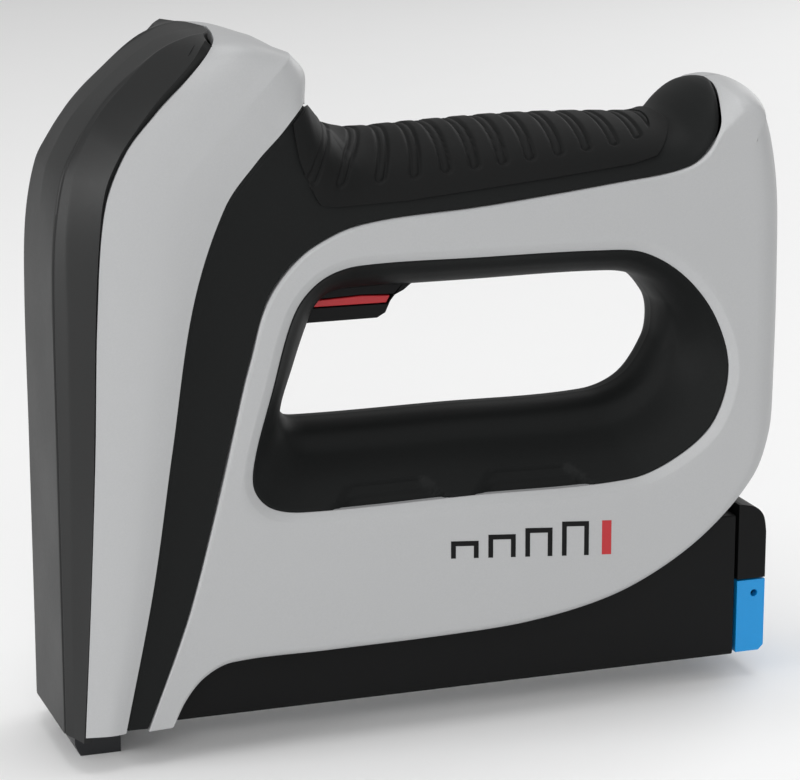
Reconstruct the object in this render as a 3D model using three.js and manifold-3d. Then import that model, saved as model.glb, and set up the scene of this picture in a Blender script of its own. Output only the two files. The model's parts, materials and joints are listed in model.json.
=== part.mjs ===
// Cordless staple gun with a D-shaped handle: a set of separate solids, in millimetres, +Z up.
// +X runs from the nose to the rear, Y = 0 is the plane in which the two housing halves meet,
// and Z = 0 is the surface that the nose foot stands on. Pieces are drawn in the tool's own
// coordinates, with X = 0 at the front face, and the whole group is then centred on X.

import * as THREE from "three";
import { mergeVertices } from "three/addons/utils/BufferGeometryUtils.js";
import Module from "manifold-3d";

const wasm = await Module();
wasm.setup();

// ---------------------------------------------------------------- driving dimensions

const LENGTH = 190;
const TOP = 178;
const SEAM = 0.15;
const GAP = 0.3;

const COVER_HALF = 24;
const COVER_FACE_HALF = 16;
const COVER_WALL = 2.6;
const SADDLE_HALF = 25;
const SADDLE_INNER = 22.2;
const BAND_HALF = 24;
const CORE_HALF = 20.4;
const PANEL_HALF = 23;

const HANDLE_MID_Z = 133;
const HANDLE_HALF = 19.5;
const HANDLE_RISE = 19.4;
const GRIP_THICKNESS = 2.6;

const MAG_HALF = 13;
const MAG_BOTTOM = 7;
const MAG_END = 181.2;
const CAP_FRONT = 182;
const CAP_TOP = 48;
const LATCH_TOP = 27.1;
const LATCH_SEAM = 0.45;

const TUNNEL_HALF = 7.2;
const CROWN_HALF = 5.3;
const WIRE = 1.25;
const STAPLE_LEG = 12;
const STAPLE_PITCH = 1.25;
const STRIP_COUNT = 68;
const STRIP_FRONT = 11.2;
const RAIL_HALF = 3.7;
const RAIL_BASE_TOP = 8.4;

const BLADE_X = 9.5;
const BLADE_THICK = 1.2;
const BLADE_HALF = 5.2;
const COLUMN_X = 14;
const PLUNGER_LOW = 70;
const PLUNGER_HIGH = 101;
const SPRING_LOW = 101.5;
const SPRING_HIGH = 146.5;

const LIFT_AXLE = [35, 96];
const LIFT_TEETH = 28;
const LIFT_SECTOR_TEETH = 11;
const LIFT_MODULE = 1;
const SECOND_PINION = 9;
const SECOND_TEETH = 30;
const SECOND_MODULE = 0.8;
const FIRST_PINION = 10;
const FIRST_TEETH = 36;
const FIRST_MODULE = 0.6;
const MOTOR_PINION = 10;
const MOTOR_RADIUS = 12.2;
const MOTOR_BACK = -17.4;
const MOTOR_FRONT = 6.9;

const TRIGGER_PIVOT = [91, 115];
const TRIGGER_HALF = 7;
const LATCH_PIVOT = [186.9, 23.4];
const LATCH_PIN = 0.8;
const TRIGGER_SPRING_X = 65.5;
const TRIGGER_SPRING_LOW = 114.8;
const TRIGGER_SPRING_HIGH = 121;

// ---------------------------------------------------------------- materials

function finish(color, roughness, metalness) {
  return new THREE.MeshStandardMaterial({ color, roughness, metalness });
}

const DARK = finish(0x3a3c3c, 0.5, 0);
const COVER_DARK = finish(0x505252, 0.45, 0);
const SILVER = finish(0xb4b5b5, 0.35, 0.1);
const RUBBER = finish(0x2b2c2c, 0.8, 0);
const BLACK = finish(0x18191a, 0.5, 0);
const BLUE = finish(0x008ed3, 0.35, 0);
const RED = finish(0xb22026, 0.4, 0);
const STEEL = finish(0x9a9da0, 0.35, 0.9);
const BLACK_STEEL = finish(0x222325, 0.4, 0.8);
const BRASS = finish(0xb59a4e, 0.35, 0.9);
const CELL = finish(0x2c6b4b, 0.4, 0);
const BOARD = finish(0x1d5a34, 0.5, 0);
const NYLON = finish(0xd8d5c8, 0.5, 0);

// ---------------------------------------------------------------- solids

function manifoldOf(geometry) {
  const bare = geometry.clone();
  bare.deleteAttribute("normal");
  bare.deleteAttribute("uv");
  const merged = mergeVertices(bare.index ? bare.toNonIndexed() : bare, 1e-4);
  const vertProperties = new Float32Array(merged.attributes.position.array);
  const triVerts = new Uint32Array(merged.index.array);
  return new wasm.Manifold(new wasm.Mesh({ numProp: 3, vertProperties, triVerts }));
}

function geometryOf(solid) {
  const { vertProperties, triVerts } = solid.getMesh();
  const geometry = new THREE.BufferGeometry();
  geometry.setAttribute("position", new THREE.BufferAttribute(vertProperties, 3));
  geometry.setIndex(new THREE.BufferAttribute(triVerts, 1));
  return geometry;
}

const model = new THREE.Group();
model.position.x = -LENGTH / 2;

function piece(name, solid, material) {
  const mesh = new THREE.Mesh(geometryOf(solid), material);
  mesh.name = name;
  model.add(mesh);
}

function shapeOf(points) {
  return new THREE.Shape(points.map(([x, z]) => new THREE.Vector2(x, z)));
}

// A side outline, drawn in X and Z, carried across from one Y to another.
function slab(shape, yLow, yHigh, options = {}) {
  const bevel = options.bevel ?? 0;
  const inset = options.inset ?? 0;
  const geometry = new THREE.ExtrudeGeometry(shape, {
    depth: yHigh - yLow - 2 * bevel,
    curveSegments: options.segments ?? 2,
    bevelEnabled: bevel > 0,
    bevelThickness: bevel,
    bevelSize: bevel,
    bevelOffset: -bevel - inset,
    bevelSegments: 1,
  });
  geometry.rotateX(Math.PI / 2);
  geometry.translate(0, yHigh - bevel, 0);
  return manifoldOf(geometry);
}

function block(x, y, z) {
  const geometry = new THREE.BoxGeometry(x[1] - x[0], y[1] - y[0], z[1] - z[0]);
  geometry.translate((x[0] + x[1]) / 2, (y[0] + y[1]) / 2, (z[0] + z[1]) / 2);
  return manifoldOf(geometry);
}

function rodAcross(centre, radius, yLow, yHigh, sides = 20) {
  const geometry = new THREE.CylinderGeometry(radius, radius, yHigh - yLow, sides);
  geometry.translate(centre[0], (yLow + yHigh) / 2, centre[1]);
  return manifoldOf(geometry);
}

function rodAlong(y, z, radius, xLow, xHigh, sides = 20) {
  const geometry = new THREE.CylinderGeometry(radius, radius, xHigh - xLow, sides);
  geometry.rotateZ(Math.PI / 2);
  geometry.translate((xLow + xHigh) / 2, y, z);
  return manifoldOf(geometry);
}

function rodUp(x, y, radius, zLow, zHigh, sides = 20) {
  const geometry = new THREE.CylinderGeometry(radius, radius, zHigh - zLow, sides);
  geometry.rotateX(Math.PI / 2);
  geometry.translate(x, y, (zLow + zHigh) / 2);
  return manifoldOf(geometry);
}

function union(...solids) {
  return solids.reduce((sum, next) => sum.add(next));
}

// A closed path of straight points and smooth runs: a run is given as { smooth: [points] }.
function outline(steps) {
  const shape = new THREE.Shape();
  steps.forEach((step, index) => {
    if (step.smooth) {
      shape.splineThru(step.smooth.map(([x, z]) => new THREE.Vector2(x, z)));
    } else if (index === 0) {
      shape.moveTo(step[0], step[1]);
    } else {
      shape.lineTo(step[0], step[1]);
    }
  });
  return shape;
}

// Outlines of equal length, each at its own Y and drawn anticlockwise, joined ring to ring.
function loft(rings) {
  const count = rings[0][1].length;
  const positions = rings.flatMap(([y, points]) => points.flatMap((point) => [point.x, y, point.y]));
  const index = [];
  for (let ring = 0; ring < rings.length - 1; ring += 1) {
    for (let k = 0; k < count; k += 1) {
      const a = ring * count + k;
      const b = ring * count + (k + 1) % count;
      index.push(a, b + count, b, a, a + count, b + count);
    }
  }
  const last = (rings.length - 1) * count;
  THREE.ShapeUtils.triangulateShape(rings[0][1], []).forEach(([a, b, c]) => {
    index.push(a, b, c);
  });
  THREE.ShapeUtils.triangulateShape(rings[rings.length - 1][1], []).forEach(([a, b, c]) => {
    index.push(last + a, last + c, last + b);
  });
  const geometry = new THREE.BufferGeometry();
  geometry.setAttribute("position", new THREE.BufferAttribute(new Float32Array(positions), 3));
  geometry.setIndex(index);
  return manifoldOf(geometry);
}

// The same outline moved inwards, each corner along the middle of its two edges' normals.
function insetPoints(points, distance) {
  return points.map((point, k) => {
    const before = points[(k + points.length - 1) % points.length];
    const after = points[(k + 1) % points.length];
    const first = point.clone().sub(before).normalize();
    const second = after.clone().sub(point).normalize();
    const normal = new THREE.Vector2(-first.y - second.y, first.x + second.x).normalize();
    const miter = normal.x * -first.y + normal.y * first.x;
    return point.clone().addScaledVector(normal, distance / miter);
  });
}

// ---------------------------------------------------------------- side outlines

// Edges that cross the head from the foot to the top, each as a smooth line.
const COVER_EDGE = [
  [2.8, 4], [5.3, 39.7], [7.4, 75], [8.9, 116], [12, 144], [21, 159.5], [36, 177.5], [40, 182],
];
const SADDLE_EDGE = [
  [12.6, 4], [20.6, 42.8], [26.4, 79.3], [33.4, 121], [39, 136], [48.2, 148.4], [61, 163], [72, 172],
];
const PANEL_FRONT = [[23, 18.7], [31, 40], [38.5, 67], [45, 93.3], [50, 110.8], [60.3, 124.6], [73, 130.6]];

const BROW = [[1.4, 139.5], [5.2, 151], [14.5, 163.2], [23, 170.2], [34, TOP - 0.5]];

// The nose face and the brow above it, with the rest of the outline well clear of the tool. The
// face is narrower than the cover, with a chamfer that follows it from the foot to the top.
function coverBlock(inset) {
  const side = outline([[0, -30], [0, 124], { smooth: BROW }, [50, 188], [150, 188], [150, -30]]);
  const points = side.extractPoints(3).shape.reverse();
  const half = COVER_HALF - inset;
  const chamfer = COVER_HALF - COVER_FACE_HALF;
  const face = insetPoints(points, inset);
  const edge = insetPoints(points, inset + chamfer);
  return loft([[-half, edge], [-half + chamfer, face], [half - chamfer, face], [half, edge]]);
}

function headOutline() {
  return outline([
    [0, 8],
    [0, 124],
    { smooth: BROW },
    [36, TOP],
    [43.5, TOP],
    [58, 173.2],
    { smooth: [[63.8, 169.3], [66.4, 163.8], [66.6, 157]] },
    [64, 140],
    [50, 110],
    [26, 8],
  ]);
}

// Everything behind a head edge, as a cutter that reaches past the whole tool.
function behind(edge, step) {
  const points = edge.map(([x, z]) => new THREE.Vector2(x + step, z));
  const line = new THREE.SplineCurve(points).getPoints(14);
  const first = line[0];
  const shape = new THREE.Shape([
    new THREE.Vector2(first.x, -10),
    new THREE.Vector2(260, -10),
    new THREE.Vector2(260, 230),
    new THREE.Vector2(line[line.length - 1].x + 10, 230),
    ...line.reverse(),
  ]);
  return slab(shape, -60, 60);
}

const RIM_REAR = [
  [150.2, 119], [161.6, 112.1], [170.4, 100.8], [174.3, 87], [170.4, 73.5], [160.5, 65.2], [147, 60.5],
];
const LOWER_CURVE = [[183.5, 57.5], [171.5, 45.4], [157, 36], [141, 29.5], [120, 25.6], [98, 24.5]];

function panelOutline() {
  return outline([
    [19.3, 9.2],
    { smooth: PANEL_FRONT },
    [84, 132.2],
    [120, 135],
    [156, 138.7],
    { smooth: [[163.5, 141.2], [168.6, 146.6], [170, 154], [166, 162]] },
    { smooth: [[176, 160.6], [183.4, 154], [187.4, 142], [189, 124]] },
    [189, 80],
    { smooth: [[188.2, 68.5], ...LOWER_CURVE] },
    [41, 24],
    { smooth: [[34, 21.2], [29, 16], [25.4, 9.2]] },
  ]);
}

function rimOutline() {
  return outline([
    [47.7, 75.4],
    [56.6, 106.5],
    { smooth: [[60.2, 113.6], [66.4, 118.8], [75, 121]] },
    [138, 120.4],
    { smooth: RIM_REAR },
    [60, 60.4],
    { smooth: [[51.4, 62.4], [47.3, 67.6], [47.7, 75.4]] },
  ]);
}

function waistOutline() {
  return outline([
    [59.6, 83.5],
    [66.5, 104.5],
    { smooth: [[68.4, 108.4], [71.4, 110.9], [76, 111.6]] },
    [143, 111.4],
    { smooth: [[153.7, 109.8], [159.6, 104.5], [161, 98.6], [159.6, 91], [153.6, 83], [143, 79.2]] },
    [64, 79],
    { smooth: [[61, 80], [59.4, 82.6], [59.6, 83.5]] },
  ]);
}

// The handle opening: a waist at Y = 0 that opens out to the rim on each side. Both outlines are
// read at the same fractions of their length, so a ring between them is a plain mix of the two.
const HOLE_POINTS = 38;
const HOLE_RINGS = [
  [-40, 1], [-CORE_HALF, 1], [-17, 0.66], [-10, 0.24],
  [0, 0], [10, 0.24], [17, 0.66], [CORE_HALF, 1], [40, 1],
];

function ringPoints(shape) {
  return shape.getSpacedPoints(HOLE_POINTS).slice(0, HOLE_POINTS).reverse();
}

function handleHole() {
  const rim = ringPoints(rimOutline());
  const waist = ringPoints(waistOutline());
  return loft(HOLE_RINGS.map(([y, open]) => [y, waist.map((point, k) => point.clone().lerp(rim[k], open))]));
}

// The handle's upper side: an ellipse in section, carried along X.
function handleSection(shrink) {
  const section = new THREE.Shape();
  section.absellipse(0, HANDLE_MID_Z, HANDLE_HALF - shrink, HANDLE_RISE - shrink, 0, Math.PI * 2);
  const geometry = new THREE.ExtrudeGeometry(section, { depth: 200, curveSegments: 20, bevelEnabled: false });
  geometry.rotateX(Math.PI / 2);
  geometry.rotateZ(Math.PI / 2);
  return manifoldOf(geometry);
}

// ---------------------------------------------------------------- casings

const HEAD_BOTTOM = 8;

function headBlock(half, inset, bevel) {
  return slab(headOutline(), -half, half, { bevel, inset, segments: 3 });
}

function frontCover() {
  const above = block([-5, 80], [-40, 40], [HEAD_BOTTOM, TOP]);
  const shell = coverBlock(0).subtract(coverBlock(COVER_WALL));
  const front = shell.intersect(above).subtract(behind(COVER_EDGE, 0));
  const foot = block([-5, 60], [-14, 14], [0, 9.5 + COVER_WALL]);
  return front.subtract(foot);
}

function headSaddle() {
  const skin = headBlock(SADDLE_HALF, 0, 3).subtract(headBlock(SADDLE_INNER, 3, 2));
  return skin.intersect(behind(COVER_EDGE, GAP)).subtract(behind(SADDLE_EDGE, -GAP / 2))
    .subtract(block([-5, 80], [-40, 40], [0, 10]))
    .subtract(block([-5, 24], [-SADDLE_INNER, SADDLE_INNER], [0, 20]));
}

function silverPanel(side) {
  const inner = CORE_HALF + GAP;
  const plate = side < 0 ? slab(panelOutline(), -PANEL_HALF, -inner, { segments: 3 })
    : slab(panelOutline(), inner, PANEL_HALF, { segments: 3 });
  return plate.subtract(slab(rimOutline(), -40, 40, { segments: 3 }));
}

// The silver panel's outline grown by the gap that its neighbours keep.
function panelRoom() {
  const points = panelOutline().extractPoints(3).shape;
  const grow = THREE.ShapeUtils.isClockWise(points) ? GAP : -GAP;
  return slab(new THREE.Shape(insetPoints(points, grow)), -60, 60);
}

function handleOutline() {
  return outline([
    [58, 112],
    [62, 164],
    [65.6, 163],
    { smooth: [[66.8, 156.6], [71, 152.9], [79, 151.4]] },
    [120, 152.6],
    [156, 151.2],
    { smooth: [[163.8, 151.7], [168.4, 155.6], [174, 159.6]] },
    { smooth: [[180.6, 154.8], [185, 143], [186.4, 124]] },
    [186.4, 112],
  ]);
}

function coreOutline() {
  return outline([
    [20.5, 11],
    { smooth: PANEL_FRONT.map(([x, z]) => [x - 3, z]) },
    [60, 145],
    [184.5, 145],
    [187.2, 120],
    [187.2, 80],
    { smooth: LOWER_CURVE.map(([x, z]) => [x - 1.4, z + 1.2]) },
    [41, 25.2],
  ]);
}

function screwAt([x, z]) {
  return { x, z };
}

const HOUSING_SCREWS = [[52, 33], [134, 34.5], [166, 51], [177, 69], [177, 128], [64, 133]].map(screwAt);

function bosses() {
  const posts = HOUSING_SCREWS.map(({ x, z }) => rodAcross([x, z], 4, -CORE_HALF + 0.5, CORE_HALF - 0.5, 12));
  const springRib = block([60, 69], [-12, 12], [TRIGGER_SPRING_HIGH + GAP, TRIGGER_SPRING_HIGH + 2.3]);
  return union(springRib, ...posts);
}

function screwHoles() {
  const holes = HOUSING_SCREWS.map(({ x, z }) => {
    const shank = rodAcross([x, z], 1.8, -12, 40, 8);
    const head = rodAcross([x, z], 3.7, 14, 40, 12);
    return shank.add(head);
  });
  return union(...holes);
}

const HEAD_ROOM = [[-5, 26], [42, 26], [44.5, 60], [44.5, 118], [52, 132], [57, 150], [52, 166], [-5, 166]];
const GEAR_ROOM = [[10, 60], [51, 60], [53, 112], [50, 122], [10, 122]];
const CELL_ROOM = [[40, 28], [112, 28], [143, 33], [160, 42], [160, 57], [44, 57]];
const BOARD_ROOM = [[177, 66], [184.5, 68], [184.5, 136], [177, 134]];
const HANDLE_ROOM = [[62, 115], [150, 115], [166, 120], [172, 138], [150, 141], [62, 141]];

// The room inside the two halves for the works.
function cavity() {
  const headRoom = slab(shapeOf(HEAD_ROOM), -18, 18);
  const gearRoom = slab(shapeOf(GEAR_ROOM), -12, 12);
  const throat = block([-5, 34], [-MAG_HALF - GAP, MAG_HALF + GAP], [0, 30]);
  const cellRoom = slab(shapeOf(CELL_ROOM), -18, 18);
  const boardRoom = slab(shapeOf(BOARD_ROOM), -15, 15);
  const handleRoom = slab(shapeOf(HANDLE_ROOM), -11, 11);
  const link = block([150, 180], [-8, 8], [52, 72]);
  const rearLink = block([158, 181], [-8, 8], [124, 136]);
  const motorRoom = rodAcross(MOTOR_AXIS, MOTOR_RADIUS + 0.4, MOTOR_BACK - 0.4, MOTOR_FRONT + 0.4, 24);
  const pinRoom = rodAcross(TRIGGER_PIVOT, 1.3, -10.4, 10.4, 12);
  const rooms = [headRoom, gearRoom, throat, cellRoom, boardRoom, handleRoom];
  return union(...rooms, link, rearLink, motorRoom, pinRoom);
}

const TRIGGER_SLOT = [[61.5, 100], [88.6, 100], [94.2, 112], [94.2, 119], [61.5, 119]];

// The handle: square below its middle and rounded above it.
function handleBar() {
  const low = block([50, 190], [-CORE_HALF, CORE_HALF], [100, HANDLE_MID_Z]);
  const high = handleSection(0).intersect(block([50, 190], [-30, 30], [HANDLE_MID_Z, 170]));
  return slab(handleOutline(), -CORE_HALF, CORE_HALF, { segments: 3 }).intersect(low.add(high));
}

function housing() {
  const headFill = headBlock(SADDLE_INNER - GAP, 3.3, 2);
  const head = headFill.intersect(behind(COVER_EDGE, GAP)).subtract(panelRoom());
  const bandFront = behind(SADDLE_EDGE, GAP / 2);
  const band = headBlock(BAND_HALF, 0.6, 1.2).intersect(bandFront).subtract(panelRoom());
  const core = slab(coreOutline(), -CORE_HALF, CORE_HALF, { segments: 3 });
  const bottomTrim = block([-5, 80], [-40, 40], [0, 10]);
  const shell = union(head, band, handleBar(), core).subtract(bottomTrim).subtract(handleHole());
  const room = cavity().subtract(bosses());
  return shell.subtract(room).subtract(screwHoles()).subtract(gripRoom())
    .subtract(slab(shapeOf(TRIGGER_SLOT), -TRIGGER_HALF - 0.8, TRIGGER_HALF + 0.8))
    .subtract(magazineRoom()).subtract(socketRoom());
}

function halfOf(solid, side) {
  const yLow = side < 0 ? -80 : SEAM;
  const yHigh = side < 0 ? -SEAM : 80;
  return solid.intersect(block([-20, 220], [yLow, yHigh], [-20, 220]));
}

function gripOutline(grow) {
  return slab(outline([
    [60.6 - grow, 142],
    { smooth: [[63.4, 137.4 - grow], [69, 135.8 - grow]] },
    [105, 137.6 - grow],
    [146, 141.4 - grow],
    { smooth: [[156.4, 144.4 - grow], [159.6 + grow, 149], [158 + grow, 156]] },
    [158 + grow, 170],
    [68 - grow, 170],
    [67.5 - grow, 152],
  ]), -40, 40);
}

function gripRoom() {
  const inner = handleSection(GRIP_THICKNESS + GAP);
  return handleSection(-5).subtract(inner).intersect(gripOutline(GAP));
}

function gripSleeve() {
  const ring = handleSection(0).subtract(handleSection(GRIP_THICKNESS));
  return ring.intersect(gripOutline(0)).intersect(slab(handleOutline(), -40, 40, { segments: 3 }));
}

// ---------------------------------------------------------------- magazine and nose

function magazineRoom() {
  const side = shapeOf([[14, -5], [200, -5], [200, 46], [176, 46], [150, 30.5], [122, 24.4], [14, 24.4]]);
  return slab(side, -MAG_HALF - GAP, MAG_HALF + GAP);
}

function magazineHousing() {
  const side = shapeOf([
    [15.8, MAG_BOTTOM],
    [MAG_END, MAG_BOTTOM],
    [MAG_END, 45.4],
    [176.2, 45.4],
    [150.2, 30],
    [122, 24],
    [15.8, 24],
  ]);
  const outer = slab(side, -MAG_HALF, MAG_HALF);
  const tunnel = block([10, 190], [-TUNNEL_HALF, TUNNEL_HALF], [0, 23]);
  const hollow = slab(shapeOf([[160, 26], [178, 26], [190, 30], [190, 42], [178, 42]]), -10, 10);
  return outer.subtract(tunnel).subtract(hollow);
}

function feedChannel() {
  const skin = block([16, 178], [-TUNNEL_HALF + GAP, TUNNEL_HALF - GAP], [9.2, 22.7]);
  const inside = block([10, 190], [-6, 6], [0, 21.7]);
  return skin.subtract(inside);
}

function trayRail() {
  const base = block([16.2, 181.4], [-6.4, 6.4], [MAG_BOTTOM, RAIL_BASE_TOP]);
  const rail = block([16.2, 181.4], [-RAIL_HALF, RAIL_HALF], [RAIL_BASE_TOP - 0.2, 19.4]);
  const bore = block([15, 170], [-RAIL_HALF + 1, RAIL_HALF - 1], [9.4, 30]);
  const tongue = block([181, 184.2], [-5, 5], [9.4, 19.4]);
  return base.add(rail).subtract(bore).add(tongue);
}

function latchPinHole() {
  return rodAcross(LATCH_PIVOT, LATCH_PIN + 0.2, -20, 20, 10);
}

function rearCap() {
  const side = outline([
    [CAP_FRONT, LATCH_TOP + LATCH_SEAM],
    [LENGTH, LATCH_TOP + LATCH_SEAM],
    [LENGTH, 40],
    { smooth: [[189.2, 44.4], [186.8, 47], [183, CAP_TOP]] },
    [CAP_FRONT, CAP_TOP],
  ]);
  const top = slab(side, -MAG_HALF, MAG_HALF, { segments: 4 });
  const neck = block([CAP_FRONT + 0.4, 184.4], [-9.8, 9.8], [8, 28]);
  const socket = block([CAP_FRONT - 1, 184.6], [-5.3, 5.3], [0, 19.7]);
  const leftEar = block([184.2, 188.1], [-9.6, -6.8], [21.2, 28]);
  const rightEar = block([184.2, 188.1], [6.8, 9.6], [21.2, 28]);
  return union(top, neck, leftEar, rightEar).subtract(socket).subtract(latchPinHole());
}

function releaseLatch() {
  const side = outline([
    [CAP_FRONT, MAG_BOTTOM + 0.4],
    [188.6, MAG_BOTTOM + 0.4],
    [LENGTH, MAG_BOTTOM + 1.8],
    [LENGTH, LATCH_TOP],
    [CAP_FRONT, LATCH_TOP],
  ]);
  const skin = slab(side, -MAG_HALF, MAG_HALF);
  const pocket = block([CAP_FRONT - 2, 188.4], [-10.6, 10.6], [0, 40]);
  const knuckle = rodAcross(LATCH_PIVOT, 1.8, -2.6, 2.6, 12);
  return skin.subtract(pocket).add(knuckle).subtract(latchPinHole());
}

function latchSpring() {
  return coil(1.35, 0.25, 4, 3.6, 8).rotate([-90, 0, 0]).translate([LATCH_PIVOT[0], 2.9, LATCH_PIVOT[1]]);
}

function stapleStrip() {
  const length = STRIP_COUNT * STAPLE_PITCH;
  const high = 9.6 + STAPLE_LEG;
  const shell = block([STRIP_FRONT, STRIP_FRONT + length], [-CROWN_HALF, CROWN_HALF], [9.6, high]);
  const inside = block([0, 150], [-CROWN_HALF + WIRE, CROWN_HALF - WIRE], [0, high - WIRE]);
  return shell.subtract(inside);
}

const PUSHER_FRONT = STRIP_FRONT + STRIP_COUNT * STAPLE_PITCH + 0.5;

function staplePusher() {
  const shell = block([PUSHER_FRONT, PUSHER_FRONT + 16], [-CROWN_HALF, CROWN_HALF], [9.6, 21.4]);
  const inside = block([0, 150], [-RAIL_HALF - GAP, RAIL_HALF + GAP], [0, 19.8]);
  const finger = block([PUSHER_FRONT + 6, PUSHER_FRONT + 14], [-1.6, 1.6], [12, 20.4]);
  return shell.subtract(inside).add(finger);
}

function pusherSpring() {
  const start = PUSHER_FRONT + 14.4;
  return coil(1.9, 0.3, 10, 169.4 - start, 6).rotate([0, 90, 0]).translate([start, 0, 15]);
}

function nosePiece() {
  const body = block([3.6, 15.2], [-11, 11], [0, 14]);
  const toe = slab(shapeOf([[3.6, -1], [5.4, -1], [3.6, 3]]), -20, 20);
  const slot = block([BLADE_X - 0.9, BLADE_X + 0.9], [-5.6, 5.6], [-1, 20]);
  const throat = block([BLADE_X, 20], [-5.7, 5.7], [8.6, 20]);
  return body.subtract(toe).subtract(slot).subtract(throat);
}

function driverGuide() {
  const face = block([5.6, 8], [-9, 9], [14.4, 64.6]);
  const leftCheek = block([5.6, 12], [-9, -6.6], [24.6, 64.6]);
  const rightCheek = block([5.6, 12], [6.6, 9], [24.6, 64.6]);
  return union(face, leftCheek, rightCheek);
}

// ---------------------------------------------------------------- springs and gears

// A helical spring along Z from Z = 0, with its wire's section carried along the helix.
function coil(radius, wire, turns, height, stepsPerTurn = 9) {
  class Helix extends THREE.Curve {
    getPoint(t) {
      const angle = t * turns * Math.PI * 2;
      const rise = wire + t * (height - 2 * wire);
      return new THREE.Vector3(radius * Math.cos(angle), radius * Math.sin(angle), rise);
    }
  }
  const section = new THREE.Shape();
  section.absarc(0, 0, wire, 0, Math.PI * 2);
  const geometry = new THREE.ExtrudeGeometry(section, {
    steps: turns * stepsPerTurn,
    curveSegments: 2,
    extrudePath: new Helix(),
    bevelEnabled: false,
  });
  return manifoldOf(geometry);
}

const TOOTH = { tip: 0.72, root: 0.98, tipWidth: 0.11, rootWidth: 0.3 };

// A spur gear seen from the side. One tooth's middle points along the angle phase, measured from
// +X towards +Z, and teeth past the count asked for are left off, so the rest is a plain rim.
function gearOutline(centre, teeth, pitchModule, phase, kept = teeth) {
  const radius = teeth * pitchModule / 2;
  const pitch = Math.PI * 2 / teeth;
  const points = [];
  for (let k = 0; k < teeth; k += 1) {
    const middle = phase + k * pitch;
    const tooth = [
      [-TOOTH.rootWidth, -TOOTH.root],
      [-TOOTH.tipWidth, TOOTH.tip],
      [TOOTH.tipWidth, TOOTH.tip],
      [TOOTH.rootWidth, -TOOTH.root],
    ];
    const rim = [[-TOOTH.rootWidth, -TOOTH.root], [TOOTH.rootWidth, -TOOTH.root]];
    (k < kept ? tooth : rim).forEach(([across, out]) => {
      const angle = middle + across * pitch;
      const reachRadius = radius + out * pitchModule;
      points.push([centre[0] + reachRadius * Math.cos(angle), centre[1] + reachRadius * Math.sin(angle)]);
    });
  }
  return shapeOf(points);
}

function gear(centre, teeth, pitchModule, phase, yLow, yHigh, kept = teeth) {
  return slab(gearOutline(centre, teeth, pitchModule, phase, kept), yLow, yHigh);
}

// The phase that puts a driven gear's gap on its driver's tooth, with the driven gear's centre in
// the direction towards from the driver's.
function meshPhase(driverPhase, driverTeeth, drivenTeeth, towards) {
  const shift = (driverPhase - towards) * driverTeeth / drivenTeeth;
  return towards + Math.PI - shift - Math.PI / drivenTeeth;
}

function stepFrom(centre, distance, direction) {
  return [centre[0] + distance * Math.cos(direction), centre[1] + distance * Math.sin(direction)];
}

function spacing(teethA, teethB, pitchModule) {
  return (teethA + teethB) * pitchModule / 2;
}

const STRAIGHT_DOWN = -Math.PI / 2;
const FIRST_LEAN = STRAIGHT_DOWN - 0.13;
const MOTOR_LEAN = STRAIGHT_DOWN + 0.34;

const SECOND_AXLE = stepFrom(LIFT_AXLE, spacing(LIFT_TEETH, SECOND_PINION, LIFT_MODULE), STRAIGHT_DOWN);
const FIRST_AXLE = stepFrom(SECOND_AXLE, spacing(SECOND_TEETH, FIRST_PINION, SECOND_MODULE), FIRST_LEAN);
const MOTOR_AXIS = stepFrom(FIRST_AXLE, spacing(FIRST_TEETH, MOTOR_PINION, FIRST_MODULE), MOTOR_LEAN);

const LIFT_PHASE = Math.PI;
const SECOND_PINION_PHASE = meshPhase(LIFT_PHASE, LIFT_TEETH, SECOND_PINION, STRAIGHT_DOWN);
const FIRST_PINION_PHASE = meshPhase(0, SECOND_TEETH, FIRST_PINION, FIRST_LEAN);
const MOTOR_PINION_PHASE = meshPhase(0, FIRST_TEETH, MOTOR_PINION, MOTOR_LEAN);

const AXLE_RADIUS = 2;
const BORE_RADIUS = 2.3;

function liftGear() {
  const sectorPhase = LIFT_PHASE - Math.PI * 2 / LIFT_TEETH;
  const sector = gear(LIFT_AXLE, LIFT_TEETH, LIFT_MODULE, sectorPhase, -3, 3.2, LIFT_SECTOR_TEETH);
  const drive = gear(LIFT_AXLE, LIFT_TEETH, LIFT_MODULE, LIFT_PHASE, 3.2, 6.6);
  return sector.add(drive).subtract(rodAcross(LIFT_AXLE, BORE_RADIUS + 0.7, -20, 20));
}

function secondGear() {
  const pinion = gear(SECOND_AXLE, SECOND_PINION, LIFT_MODULE, SECOND_PINION_PHASE, 3.4, 7.4);
  const wheel = gear(SECOND_AXLE, SECOND_TEETH, SECOND_MODULE, 0, 7.3, 10);
  return pinion.add(wheel).subtract(rodAcross(SECOND_AXLE, BORE_RADIUS, -20, 20, 16));
}

function firstGear() {
  const pinion = gear(FIRST_AXLE, FIRST_PINION, SECOND_MODULE, FIRST_PINION_PHASE, 7.3, 13.1);
  const wheel = gear(FIRST_AXLE, FIRST_TEETH, FIRST_MODULE, 0, 13, 15.6);
  return pinion.add(wheel).subtract(rodAcross(FIRST_AXLE, 1.8, -20, 20, 16));
}

function motorPinion() {
  return gear(MOTOR_AXIS, MOTOR_PINION, FIRST_MODULE, MOTOR_PINION_PHASE, 12.4, 16.4)
    .subtract(rodAcross(MOTOR_AXIS, 1.3, 0, 30, 12));
}

function motor() {
  const can = rodAcross(MOTOR_AXIS, MOTOR_RADIUS, MOTOR_BACK, MOTOR_FRONT, 24);
  return can.subtract(rodAcross(MOTOR_AXIS, 1.3, -30, 30, 12));
}

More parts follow.
